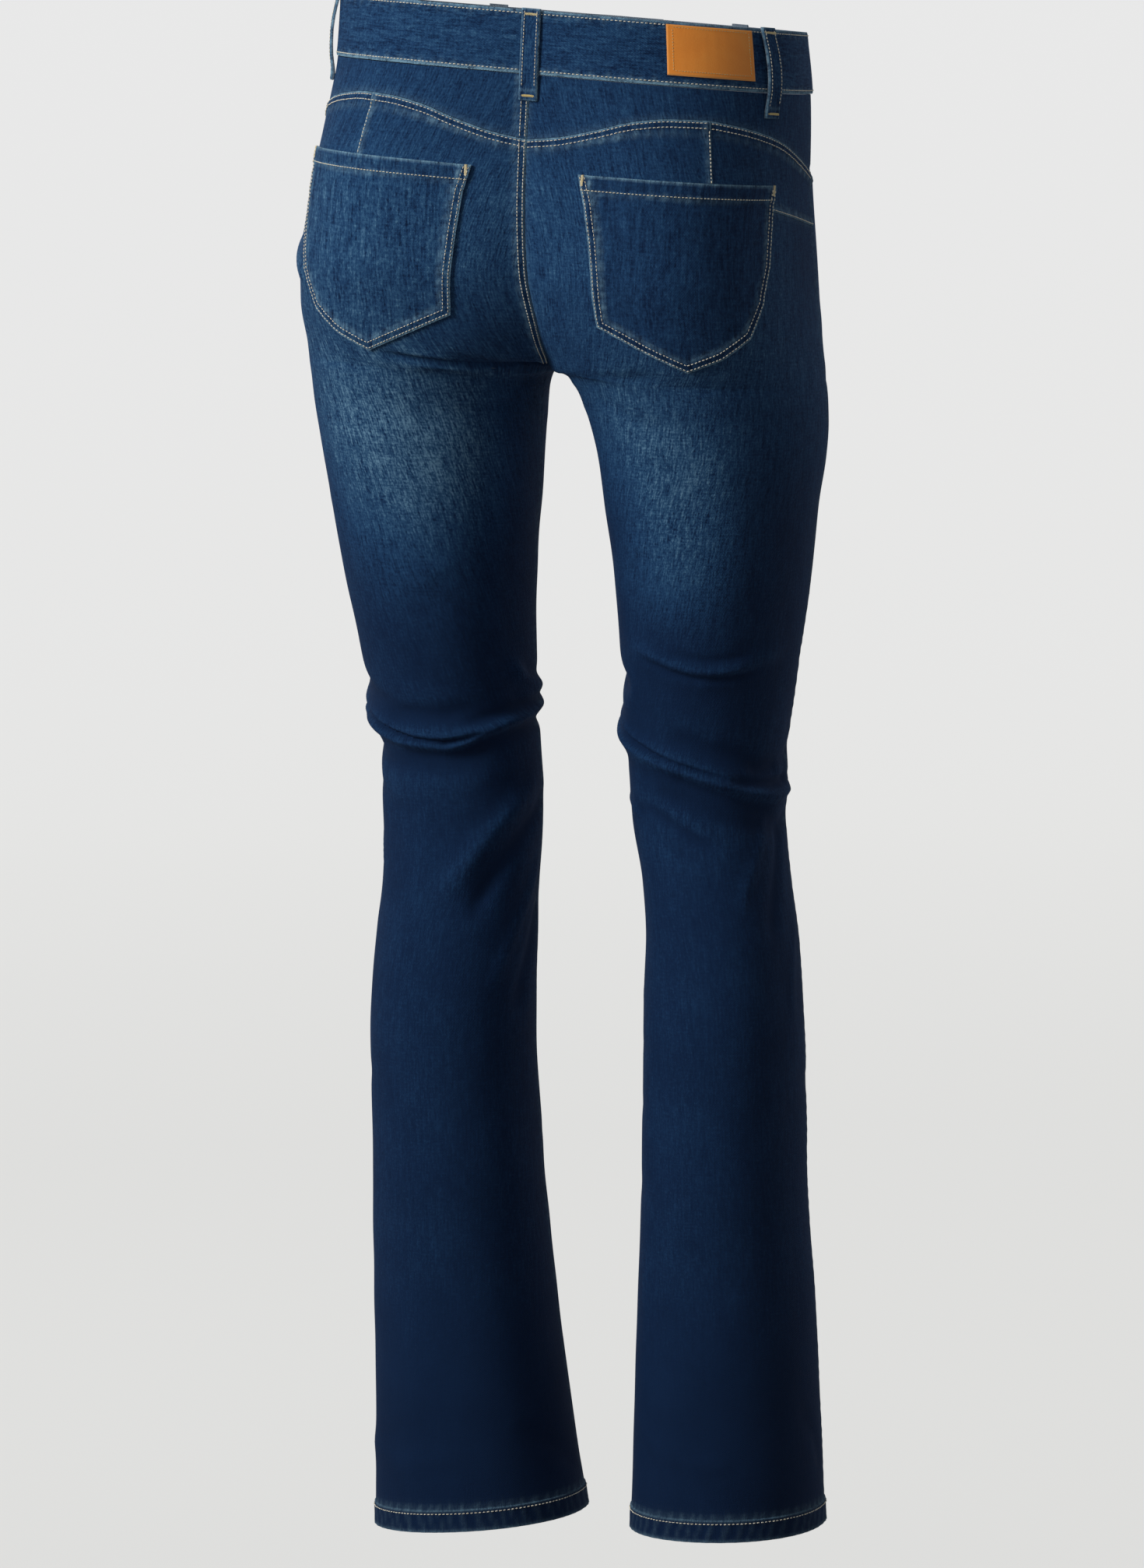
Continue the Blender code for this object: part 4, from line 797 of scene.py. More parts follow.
def new_mesh(name, verts, faces, rounded=True):
    mesh = bpy.data.meshes.new(name)
    mesh.from_pydata(verts, [], faces)
    mesh.polygons.foreach_set("use_smooth", np.full(len(faces), rounded))
    return mesh


def into_scene(name, data):
    made = bpy.data.objects.new(name, data)
    bpy.context.scene.collection.objects.link(made)
    return made


def shell_faces(cells, number, n):
    """Quads of both faces of a sheet and of the rim round it. The inner points are numbered n further on."""
    rows, cols = cells.shape
    i, j = np.nonzero(cells)
    quads = np.stack([number[i, j], number[i, j + 1], number[i + 1, j + 1], number[i + 1, j]], axis=1)
    wide = np.pad(cells, 1)
    rim = []
    for di, dj, ends in ((-1, 0, ((0, 0), (0, 1))), (0, 1, ((0, 1), (1, 1))), (1, 0, ((1, 1), (1, 0))),
                         (0, -1, ((1, 0), (0, 0)))):
        beside = wide[1 + di:rows + 1 + di, 1 + dj:cols + 1 + dj]
        p, q = np.nonzero(cells & ~beside)
        a, b = (number[p + down, q + along] for down, along in ends)
        rim.append(np.stack([b, a, a + n, b + n], axis=1))
    return np.concatenate([quads, quads[:, ::-1] + n] + rim)


def cut_of(outer, cells):
    """[longest row, longest column, area] of a sheet in metres."""
    i, j = np.nonzero(cells)
    a, b, c, d = (outer[i, j], outer[i, j + 1], outer[i + 1, j + 1], outer[i + 1, j])
    area = 0.5 * np.linalg.norm(np.cross(c - a, d - b), axis=1).sum()
    across_m = np.where(cells, np.linalg.norm(outer[:-1, 1:] - outer[:-1, :-1], axis=2), 0.0).sum(1).max()
    down_m = np.where(cells, np.linalg.norm(outer[1:, :-1] - outer[:-1, :-1], axis=2), 0.0).sum(0).max()
    return [float(across_m), float(down_m), float(area)]


def shell(name, outer, inner, cells, looks):
    """A closed sheet with thickness. looks is a dict of grids kept as attributes on its points."""
    rows, cols = outer.shape[:2]
    if cells is None:
        cells = np.ones((rows - 1, cols - 1), bool)
    used = np.zeros((rows, cols), bool)
    for down in (slice(None, -1), slice(1, None)):
        for along in (slice(None, -1), slice(1, None)):
            used[down, along] |= cells
    number = np.where(used, np.cumsum(used).reshape(used.shape) - 1, -1)
    n = int(used.sum())
    verts = np.concatenate([outer[used], inner[used]])
    faces = shell_faces(cells, number, n)
    # The faces look outward when the volume they enclose comes out positive
    t = verts[faces]
    volume = np.einsum("ij,ij->", t[:, 0], np.cross(t[:, 1], t[:, 2]))
    volume += np.einsum("ij,ij->", t[:, 0], np.cross(t[:, 2], t[:, 3]))
    if volume < 0:
        faces = faces[:, ::-1]
    mesh = new_mesh(name, verts.tolist(), faces.tolist())
    mesh.update()
    mesh.set_sharp_from_angle(angle=SHARP_FROM)
    for key, grid in looks.items():
        kind = "FLOAT_VECTOR" if grid.ndim == 3 else "FLOAT"
        values = np.concatenate([grid[used], grid[used]]).astype(np.float32)
        layer = mesh.attributes.new(key, kind, "POINT")
        layer.data.foreach_set("vector" if grid.ndim == 3 else "value", values.ravel())
    layer = mesh.attributes.new("inside", "FLOAT", "POINT")
    layer.data.foreach_set("value", np.repeat([0.0, 1.0], n).astype(np.float32))
    made = into_scene(name, mesh)
    made["cut"] = cut_of(outer, cells)
    return made


def dress(made, node, finish):
    """The piece takes its finish, stands for its node and rides on the root."""
    made.data.materials.append(finish)
    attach(made, "root")
    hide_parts(node)


def weave_place(x, z, piece=0.0):
    """Places on the flat cloth in metres, and a number that gives the piece a weave of its own."""
    return np.stack([x * CM, z * CM, np.full(x.shape, piece)], axis=-1)


def panel(name, kind, side, v, z, cells, pulls, finish, out=0.0, thick=CLOTH):
    """A panel of cloth. Each of its pulls draws an edge back from the seam line: (rows, columns, way)."""
    gap = SEAM / CM
    front, back = lengths_at(side, z)
    length = np.where(v > 1.0, back, front)
    lift, wear = panel_look(kind, side, v, z)
    fade = wash_wear_and_shade_at(side, v, z)
    cloth = weave_place(across(side, v, z) * SIGN[side], z)
    dv, dz = np.zeros(v.shape), np.zeros(z.shape)
    for rows, cols, way in pulls:
        if way in ("up", "down"):
            dz[rows, cols] = gap if way == "up" else -gap
        else:
            dv[rows, cols] = ((gap if way == "more" else -gap) / length)[rows, cols]
    v, z = v + dv, z + dz
    outer = place(side, v, z, out + lift)
    inner = place(side, v, z, out - thick - hem_at(z, HEM_INSIDE))
    made = shell(name, outer, inner, cells, {"cloth": cloth, "fade": fade, "wear": wear})
    dress(made, name.replace("_cloth", ""), finish)


STEP = 0.40
# Rows lie closer where the cloth is folded most
CLOSE_STEP = 0.14
CLOSE_ROWS = ((-56.4, -42.4), (-25.4, -22.4))
NEAR = (0.0020, 0.0048, 0.0090)


def fine_pairs(pairs):
    """The rows with finer ones between them, each still a pair of heights."""
    pairs = np.array(pairs)
    found = []
    for a, b in zip(pairs[:-1], pairs[1:]):
        middle = 0.25 * float((a + b).sum())
        close = any(low < middle < high for low, high in CLOSE_ROWS)
        count = max(1, int(math.ceil(np.abs(b - a).max() / (CLOSE_STEP if close else STEP))))
        found += [a + (b - a) * k / count for k in range(count)]
    found.append(pairs[-1])
    return np.array(found)


def hem_pairs(pairs):
    """Rows bunched up at the hem: its fold, its foot and the step onto it."""
    body = fine_pairs([p for p in pairs if p[0] > -102.9])
    heights = [-102.88, -102.95, -103.0, -103.06, -103.15, *np.linspace(-103.35, -104.2, 5)]
    heights += [-104.34, -104.43, -104.48, -104.5]
    return np.concatenate([body, [(z, z) for z in heights]])


def panel_rows(share, pairs):
    """Heights of the rows at each share of the way from the inner line to the side seam."""
    away = (1.0 - share) ** 1.6
    return pairs[:, 1:2] + (pairs[:, 0:1] - pairs[:, 1:2]) * away[None, :]


def cells_in(grid, rows, cols=slice(None)):
    """Which cells of a grid of points lie in these rows and columns."""
    cells = np.zeros((grid.shape[0] - 1, grid.shape[1] - 1), bool)
    cells[rows, cols] = True
    return cells


def make_back(side, finish):
    """Yoke, side insert and back leg, cut out of one grid along their seams."""
    share = spread([0.0, SHORT_SEAM[side], 1.0], 0.0115, NEAR)
    short = int(np.argmin(np.abs(share - SHORT_SEAM[side])))
    away = seam_away(side, 2.0 - share)
    yoke, foot = YOKE_AT(away), INSERT_FOOT_AT(away)
    top = np.full(len(share), PANEL_TOP)
    t = spread([0.0, 1.0], 0.09, (0.012, 0.03, 0.055))
    rows = [top + (yoke - top) * k for k in t]
    yoke_row = len(rows) - 1
    rows += [yoke + (foot - yoke) * k for k in t[1:]]
    foot_row = len(rows) - 1
    rest = panel_rows(share, hem_pairs(ROWS_RISE + ROWS_LEG))
    rows += [foot + (rest[0] - foot) * k for k in np.linspace(0.0, 1.0, 9)[1:-1]]
    z = np.concatenate([np.array(rows), rest])
    v = np.broadcast_to(2.0 - share, z.shape).copy()
    every = slice(None)
    last = len(share) - 1
    panel("yoke_%s_cloth" % side, "yoke", side, v, z, cells_in(z, slice(yoke_row)), (
        (yoke_row, every, "up"), (every, 0, "less"), (every, last, "more")), finish)
    cells = cells_in(z, slice(yoke_row, foot_row), slice(short, None))
    panel("side_insert_%s_cloth" % side, "insert", side, v, z, cells, (
        (yoke_row, every, "down"), (foot_row, every, "up"), (every, short, "less"), (every, last, "more")),
        finish)
    cells = cells_in(z, slice(yoke_row, foot_row), slice(short)) | cells_in(z, slice(foot_row, None))
    panel("back_leg_%s_cloth" % side, "back", side, v, z, cells, (
        (yoke_row, slice(0, short + 1), "down"), (foot_row, slice(short, last + 1), "down"),
        (slice(yoke_row, foot_row + 1), short, "more"), (every, 0, "less"), (every, last, "more")),
        finish)


# rows of a front leg above ROWS_LEG: height at the inner line, height at the side seam
ROWS_FRONT = (
    (PANEL_TOP, PANEL_TOP), (-4.3, -4.3), (-6.0, -6.0), (-7.6, -7.6), (-8.9, -8.9), (-9.8, -9.8),
    (-10.25, -10.25), (OPENING_FOOT, OPENING_FOOT), (-12.4, -12.2), (-14.3, -13.9), (-15.8, -15.3),
    (-17.6, -16.8), (-19.4, -18.3), (-21.0, -19.8), (-22.3, -21.2), (-23.2, -22.6), (-23.75, -24.0),
    (-24.02, -25.3),
)


def make_front(side, finish):
    share = spread([0.0, 1.0], 0.0165, NEAR)
    z = panel_rows(share, hem_pairs(ROWS_FRONT + ROWS_LEG))
    v = share[None, :] * np.where(z > OPENING_FOOT, opening(z), 1.0)
    last = len(share) - 1
    foot = int(np.argmin(np.abs(z[:, last] - OPENING_FOOT)))
    panel("front_leg_%s_cloth" % side, "front", side, v, z, None, (
        (slice(None), 0, "more"), (slice(foot, len(z)), last, "less")), finish)


def make_facing(side, finish):
    """The denim that shows in the pocket opening."""
    heights = np.concatenate([[-3.5, -3.8, PANEL_TOP + 0.04], spread([PANEL_TOP, -11.8], 0.4, (0.05,))])
    shares = np.linspace(0.0, 1.0, 36)
    edge = opening(np.maximum(heights, OPENING_FOOT))
    start = np.minimum(edge - 0.12, 0.86)
    v = start[:, None] + (1.0 - start[:, None]) * shares[None, :]
    z = np.broadcast_to(heights[:, None], v.shape).copy()
    # It comes up from behind the front to the side seam, and its top edge is held behind the band
    risen = np.clip((v - edge[:, None] - 0.04) / np.maximum(0.96 - edge[:, None], 0.02), 0.0, 1.0)
    risen = np.where(z > PANEL_TOP + 0.01, 0.0, risen * smooth(-10.2, -8.9, z))
    out = (CLOTH + FACING_BACK) * (risen - 1.0)
    panel("pocket_facing_%s_cloth" % side, "facing", side, v, z, None, (
        (slice(None), len(shares) - 1, "less"),), finish, out=out,
        thick=FACING_CLOTH)


def line_v(side, z, reach):
    """v where the back surface lies this far out from the middle, on the back."""
    points = SURFACE[side][0]
    found = np.zeros(np.shape(z))
    for index, level in np.ndenumerate(level_of(z)):
        part = points[int(round(float(level)))][HALF - 1:]
        x = SIGN[side] * part[:, 0]
        use = slice(0, int(np.argmax(part[:, 1])) + 6)
        order = np.argsort(x[use])
        found[index] = 1.0 + np.interp(reach, x[use][order], np.arange(len(part))[use][order]) / (HALF - 1)
    return found


def smooth_line(side):
    """v of the pocket's middle line against the height."""
    heights = np.linspace(-9.5, -23.5, 29)
    fit = np.polyfit(heights, line_v(side, heights, POCKET_LINE[side]), 4)
    return lambda z: np.polyval(fit, z)


POCKET_CENTRE = {side: smooth_line(side) for side in SIGN}


def edge_shares(points):
    """How far along the edge each of its points lies, 0 to 1."""
    step = arc_along(np.array(points))
    return step / step[-1]


def coons(inner, outer, top, bottom, s, t):
    """A grid of points between four edges. s runs along the top, t down the sides."""
    def along(points, share):
        at = edge_shares(points)
        return np.stack([np.interp(share, at, values) for values in np.array(points).T], axis=-1)

    a, b = along(inner, t), along(outer, t)
    c, d = along(top, s), along(bottom, s)
    s, t = s[None, :, None], t[:, None, None]
    grid = (1 - s) * a[:, None] + s * b[:, None] + (1 - t) * c[None] + t * d[None]
    return grid - ((1 - s) * (1 - t) * c[0] + s * (1 - t) * c[-1] + (1 - s) * t * d[0] + s * t * d[-1])


POCKET_TOP = (POCKET_INNER[0], POCKET_OUTER[0])
POCKET_MOUTH = POCKET_INNER[0][1]
# Down the inner side, round the point and up the outer side
POCKET_SIDES = np.concatenate([POCKET_INNER, POCKET_BOTTOM[1:], POCKET_OUTER[-2::-1]])
# Share of the wash on each back pocket: partly real wash, partly painted light and shade that makes the left
# pocket paler and the right one darker
POCKET_WASH_AND_SHADE = {"left": 1.1, "right": 0.6}


def pocket_edge_distance(p, z):
    """(distance to the nearest sewn side in cm, distance from the mouth, place along the sides)."""
    best = np.full(p.shape, 1e9)
    place_on = np.zeros(p.shape)
    total = 0.0
    for a, b in zip(POCKET_SIDES[:-1], POCKET_SIDES[1:]):
        d = b - a
        size = float(np.hypot(*d))
        t = np.clip(((p - a[0]) * d[0] + (z - a[1]) * d[1]) / size**2, 0.0, 1.0)
        gap = np.hypot(p - a[0] - t * d[0], z - a[1] - t * d[1])
        place_on = np.where(gap < best, total + t * size, place_on)
        best = np.minimum(best, gap)
        total += size
    return best, POCKET_MOUTH - z, place_on


def pocket_lift(p, z):
    """(lift in metres, wear) of a back pocket's outer face."""
    d, mouth, s = pocket_edge_distance(p, z)
    swell = smooth(0.0, 3.2, d)
    lift = POCKET_CLEAR + POCKET_CLOTH + np.exp(-mouth / 1.4) * swell * 1.1 * MM + swell * 0.25 * MM
    lip = (1.0 - smooth(0.98, 1.12, mouth)) * POCKET_LIP * (1.0 - 0.5 * bell(mouth, 0.07))
    hem = (1.0 - smooth(0.62, 0.80, d)) * 0.45 * MM * (1.0 - 0.6 * bell(d, 0.07))
    ripple = pucker(s, 1.1) * 0.14 * MM * (1.0 - smooth(0.6, 1.1, d))
    ripple = ripple + pucker(p, 0.3) * 0.10 * MM * (1.0 - smooth(1.0, 1.5, mouth)) * smooth(0.0, 0.4, mouth)
    wear = edge_wear(d, 0.62, s, 1.1) + edge_wear(mouth, 0.95, p, 0.3) * 0.8
    return lift + lip + hem + ripple, np.clip(wear, -0.2, 1.2)


def pocket_v(side, p, z):
    return POCKET_CENTRE[side](z) - p / lengths_at(side, z)[1]


def make_pocket(side, finish):
    across_share = spread([0.0, 0.5, 1.0], 0.028, (0.004, 0.01, 0.022, 0.045))
    down = spread([0.0, 1.0], 0.028, (0.004, 0.01, 0.022, 0.045, 0.075, 0.085))
    # The middle column of the grid runs down to the pocket's point
    share = np.interp(across_share, [0.0, 0.5, 1.0], [0.0, edge_shares(POCKET_BOTTOM)[2], 1.0])
    grid = coons(POCKET_INNER, POCKET_OUTER, POCKET_TOP, POCKET_BOTTOM, share, down)
    p, z = grid[..., 0], grid[..., 1]
    v = pocket_v(side, p, z)
    lift, wear = pocket_lift(p, z)
    # The pocket share paints the right pocket darker as shade and the left one paler as light, on top of its
    # wash
    fade = wash_wear_and_shade_at(side, v, z) * POCKET_WASH_AND_SHADE[side]
    cloth = weave_place(-p * SIGN[side], z, 0.5)
    mouth = np.exp(-down * 9.0)[:, None] * np.sin(math.pi * share)[None, :] ** 1.5 * 1.2 * MM
    outer = place(side, v, z, lift)
    inner = place(side, v, z, np.minimum(POCKET_CLEAR + mouth, lift - 0.9 * MM))
    name = "back_pocket_" + side
    made = shell(name + "_cloth", outer, inner, None, {"cloth": cloth, "fade": fade, "wear": wear})
    dress(made, name, finish)


def band_stations():
    """Places round the band: (side, v, how far it has risen onto its other end, 0 to 1)."""
    lap = LAP / float(lengths_at("right", BAND_READ)[0])
    stations = [("right", v, 1.0) for v in np.linspace(lap, 0.0, 12)]
    left = np.concatenate([np.linspace(0.0, 1.0, 66), np.linspace(1.0, 2.0, 80)[1:]])
    for v in left[1:]:
        stations.append(("left", v, float(1.0 - smooth(0.0, 0.16, v))))
    right = np.concatenate([np.linspace(2.0, 1.0, 80)[1:], np.linspace(1.0, 0.0, 66)[1:]])
    return stations + [("right", v, 0.0) for v in right]


BAND_OVER = BAND_DEPTH + CLEAR


def band_lift(s, z):
    """Relief of the band's outer face: a roped top fold, and a ridge along its lower stitching."""
    top, foot = -z, z - BAND_FOOT
    rope = pucker(s + 0.5 * top, 0.7) * 0.18 * bell(top, 0.35, 0.25)
    low = pucker(s, 1.9) * 0.16 * bell(foot, 0.3, 0.15)
    lift = rope + low - 0.45 * bell(top, 0.09) - 0.35 * bell(foot, 0.07)
    lift = lift + 0.12 * np.sin(2 * math.pi * s / 7.3) * np.sin(math.pi * np.clip(top / 4.15, 0, 1))
    wear = bell(top, 0.13, 0.02) * 0.75 + bell(foot, 0.14, 0.03) * 1.1
    wear += crests(s + 0.5 * top, 0.7) * 0.28 * bell(top, 0.3, 0.2)
    wear += crests(s, 1.9) * 0.3 * bell(foot, 0.25, 0.2)
    return lift * MM, np.clip(wear, 0, 1.1)


def band_point(side, v, z, out):
    """Points round the band. The two sides meet on the middle lines."""
    if v in (0.0, 2.0):
        return 0.5 * (place("left", v, z, out) + place("right", v, z, out))
    return place(side, v, z, out)


def make_band(finish):
    stations = band_stations()
    heights = np.array([
        0.0, -0.03, -0.08, -0.16, -0.28, -0.5, -0.85, -1.3, -1.8, -2.3, -2.8, -3.2, -3.55, -3.8, -3.95, -4.05,
        -4.1, -4.13, BAND_FOOT])
    shape = (len(heights), len(stations))
    outer, inner = np.zeros((*shape, 3)), np.zeros((*shape, 3))
    cloth, wear = np.zeros((*shape, 3)), np.zeros(shape)
    s = 0.0
    for j, (side, v, up) in enumerate(stations):
        if j:
            a, b = (place(*stations[k][:2], BAND_READ) for k in (j - 1, j))
            s += float(np.linalg.norm(b - a)) / CM
        lift, wear[:, j] = band_lift(s, heights)
        # The end that lies over the other one reaches a little lower, onto the front
        low = heights - 0.25 * smooth(0.6, 0.9, up) * smooth(-3.9, BAND_FOOT, heights)
        outer[:, j] = band_point(side, v, low, BAND_PROUD + lift + up * BAND_OVER)
        inner[:, j] = band_point(side, v, low, BAND_PROUD - BAND_DEPTH + up * BAND_OVER)
        cloth[:, j, 0], cloth[:, j, 1], cloth[:, j, 2] = heights * CM, -s * CM, 0.25
    fade = np.full(shape, 0.29)
    made = shell("waistband_cloth", outer, inner, None, {"cloth": cloth, "fade": fade, "wear": wear})
    dress(made, "waistband", finish)


LOOP_ROWS = (
    (0.12, 0.0), (-0.15, 0.0), (-0.8, 0.42), (-1.6, 0.8), (-2.5, 1.0), (-3.4, 0.95), (-4.15, 0.72),
    (-4.7, 0.42), (-5.2, 0.12), (-5.5, 0.0), (-5.85, 0.0),
)
LOOPS = (
    ("belt_loop_back", "left", None, 0.4), ("belt_loop_back_left", "left", 19.0, 3.2),
    ("belt_loop_back_right", "right", 17.2, 3.6), ("belt_loop_front_left", "left", -9.0, 1.6),
    ("belt_loop_front_right", "right", -9.0, 2.0),
)


def loop_frame(side, away, bow, heights, x):
    """(inner points, outer points, normals) of a loop at these heights and places over its width in cm."""
    rows = np.array(LOOP_ROWS)
    shares = np.interp(-heights, -rows[:, 0], rows[:, 1])
    lift = np.where(heights > -4.4, BAND_PROUD, BAND_PROUD * 0.9 * (1 - smooth(-4.4, -5.6, heights)))
    lift = CLEAR + 0.1 * MM + lift + shares * bow * MM
    thick = LOOP_CLOTH + 0.5 * MM * (1.0 - smooth(-5.2, -5.0, heights))
    thick = thick + 0.35 * MM * smooth(-0.55, -0.35, heights)
    edge = np.abs(x) / (0.5 * LOOP_WIDTH)
    # Two rolled edges with a shallow channel between them
    roll = (0.28 * bell(edge, 0.18, 0.78) - 0.75 * smooth(0.9, 1.0, edge)) * MM
    foot_round = -0.5 * MM * bell(heights, 0.07, heights[-1])
    foot_round = foot_round - 0.5 * MM * bell(heights, 0.07, heights[0])
    lift_grid = np.broadcast_to(lift[:, None], (len(heights), len(x)))
    over = (lift + thick + foot_round)[:, None] + roll[None, :]
    if away is None:
        spine = 0.5 * (place("left", 2.0, heights, 0.0) + place("right", 2.0, heights, 0.0))
        normal = normal_at("left", 2.0, heights) + normal_at("right", 2.0, heights)
        normal /= np.linalg.norm(normal, axis=1, keepdims=True)
        flat = spine[:, None] + x[None, :, None] * CM * np.array([1.0, 0.0, ROLL])
        flat = flat + np.array([0.0, 0.65 * MM, 0.0])
        normals = np.broadcast_to(normal[:, None], flat.shape)
        return flat + normals * lift_grid[..., None], flat + normals * over[..., None], normals
    front, back = lengths_at(side, LOOP_READ)
    v = 2.0 - (away + x) / back if away >= 0 else (-away + x) / front
    v, z = np.broadcast_arrays(v[None, :], heights[:, None])
    return place(side, v, z, lift_grid), place(side, v, z, over), normal_at(side, v, z)


LOOP_HALF = np.array([0.1, 0.25, 0.38, 0.48, 0.56, 0.61, 0.64, 0.65])
LOOP_X = np.concatenate([-LOOP_HALF[::-1], LOOP_HALF])


def make_loop(name, side, away, bow, finish):
    heights = spread([0.12, -0.42, -5.2, -5.85], 0.16, (0.03, 0.07))
    inner, outer, _ = loop_frame(side, away, bow, heights, LOOP_X)
    x, z = np.meshgrid(LOOP_X, heights)
    edge = np.abs(x) / (0.5 * LOOP_WIDTH)
    wear = bell(edge, 0.09, 0.97) * (0.75 + 0.25 * np.sin(z * 9.0 + len(name)))
    wear += 0.3 * bell(z, 0.12, -5.2) + 0.55 * bell(z, 0.1, 0.1)
    wear += 0.45 * bell(z, 0.06, -5.82)
    made = shell(name + "_cloth", outer, inner, None, {
        "cloth": weave_place(x, z, 0.75), "fade": np.full(x.shape, 0.34), "wear": np.clip(wear, 0, 1)})
    dress(made, name, finish)


PATCH_LOW = BAND_PROUD + CLEAR + 0.06 * MM


def patch_point(x, z, out):
    """x is the distance from centre back on the wearer's right."""
    back = float(lengths_at("right", BAND_READ)[1])
    return place("right", 2.0 - x / back, z, out)


def patch_lift(x, z):
    d = np.minimum(np.minimum(x - PATCH_FROM, PATCH_TO - x), np.minimum(PATCH_TOP - z, z - PATCH_FOOT))
    lift = PATCH_THICK - 0.45 * MM * bell(d, 0.06)
    lift = lift - 0.14 * MM * bell(d, 0.09, 0.22)
    return lift + 0.12 * MM * np.sin(1.1 * x + 0.7) * np.sin(1.6 * z), d


def make_patch(finish):
    x = spread([PATCH_FROM, PATCH_TO], 0.14, (0.02, 0.05, 0.09))
    z = spread([PATCH_TOP, PATCH_FOOT], 0.14, (0.02, 0.05, 0.09))
    x, z = np.meshgrid(x, z)
    lift, d = patch_lift(x, z)
    made = shell("patch_leather", patch_point(x, z, PATCH_LOW + lift), patch_point(x, z, PATCH_LOW), None, {
        "cloth": weave_place(x, z), "fade": np.zeros(x.shape), "wear": bell(d, 0.07)})
    dress(made, "patch", finish)


def fly_point(x, z, out):
    side = "left" if x >= 0 else "right"
    front, _ = lengths_at(side, z)
    if abs(x) > 0.5:
        return place(side, abs(x) / front, z, out)
    middle = 0.5 * (place("left", 0.0, z, out) + place("right", 0.0, z, out))
    return middle + np.array([x, 0.0, x * ROLL]) * CM


# Across the tape: distance from its middle in cm, depth of its face in mm
TAPE = ((0.1, 4.3), (0.3, 4.6), (0.7, 4.6), (1.3, 2.15), (1.6, 2.15))
TAPE_THICK = 1.0 * MM
TOOTH_AT = (-6.6, -14.3)
TOOTH_STEP = 0.11
TOOTH_DEPTH = 4.1 * MM
TOOTH_SIDE = 0.05 * CM
TOOTH_HALF = np.array([1.1, 0.28, 0.38]) * MM


def make_tape(finish):
    heights = np.linspace(-4.7, -14.6, 34)
    half, deep = np.array(TAPE).T
    points = np.concatenate([-half[::-1], half])
    xs = spread(list(points), 0.16)
    depth = np.interp(xs, points, np.concatenate([deep[::-1], deep])) * MM
    outer, inner = (np.stack([fly_point(x, heights, -d - more) for x, d in zip(xs, depth)], axis=1)
                    for more in (0.0, TAPE_THICK))
    x, z = np.meshgrid(xs, heights)
    made = shell("fly_zip_tape", outer, inner, None, {
        "cloth": weave_place(x, z), "fade": np.zeros(x.shape), "wear": np.zeros(x.shape)})
    dress(made, "fly_zip", finish)


def make_teeth(finish):
    """One row of teeth from each side of the zip, turn about."""
    box = np.array([(a, b, c) for a in (-1, 1) for b in (-1, 1) for c in (-1, 1)], float)
    faces = [(0, 1, 3, 2), (4, 6, 7, 5), (0, 4, 5, 1), (2, 3, 7, 6), (0, 2, 6, 4), (1, 5, 7, 3)]
    verts, quads = [], []
    for k, z in enumerate(np.arange(*TOOTH_AT, -TOOTH_STEP)):
        turn = 1.0 if k % 2 else -1.0
        middle = fly_point(0.0, np.array([z]), -TOOTH_DEPTH)[0] + np.array([TOOTH_SIDE * turn, 0.0, 0.0])
        quads += [tuple(i + len(verts) for i in f) for f in faces]
        verts += (middle + box * TOOTH_HALF).tolist()
    mesh = new_mesh("zip_teeth", verts, quads, rounded=False)
    mesh.materials.append(finish)
    teeth = into_scene("zip_teeth", mesh)
    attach(teeth, "root")


# One stitch: places along it and across it, rising out of the cloth and sinking back in
RINGS = ((-0.5, 0.45, -0.7), (-0.4, 0.85, 0.35), (-0.2, 1.0, 0.85), (0.2, 1.0, 0.85), (0.4, 0.85, 0.35),
         (0.5, 0.45, -0.7))
ROUND = ((-1.0, -0.25), (-0.72, 0.7), (0.0, 1.0), (0.72, 0.7), (1.0, -0.25))


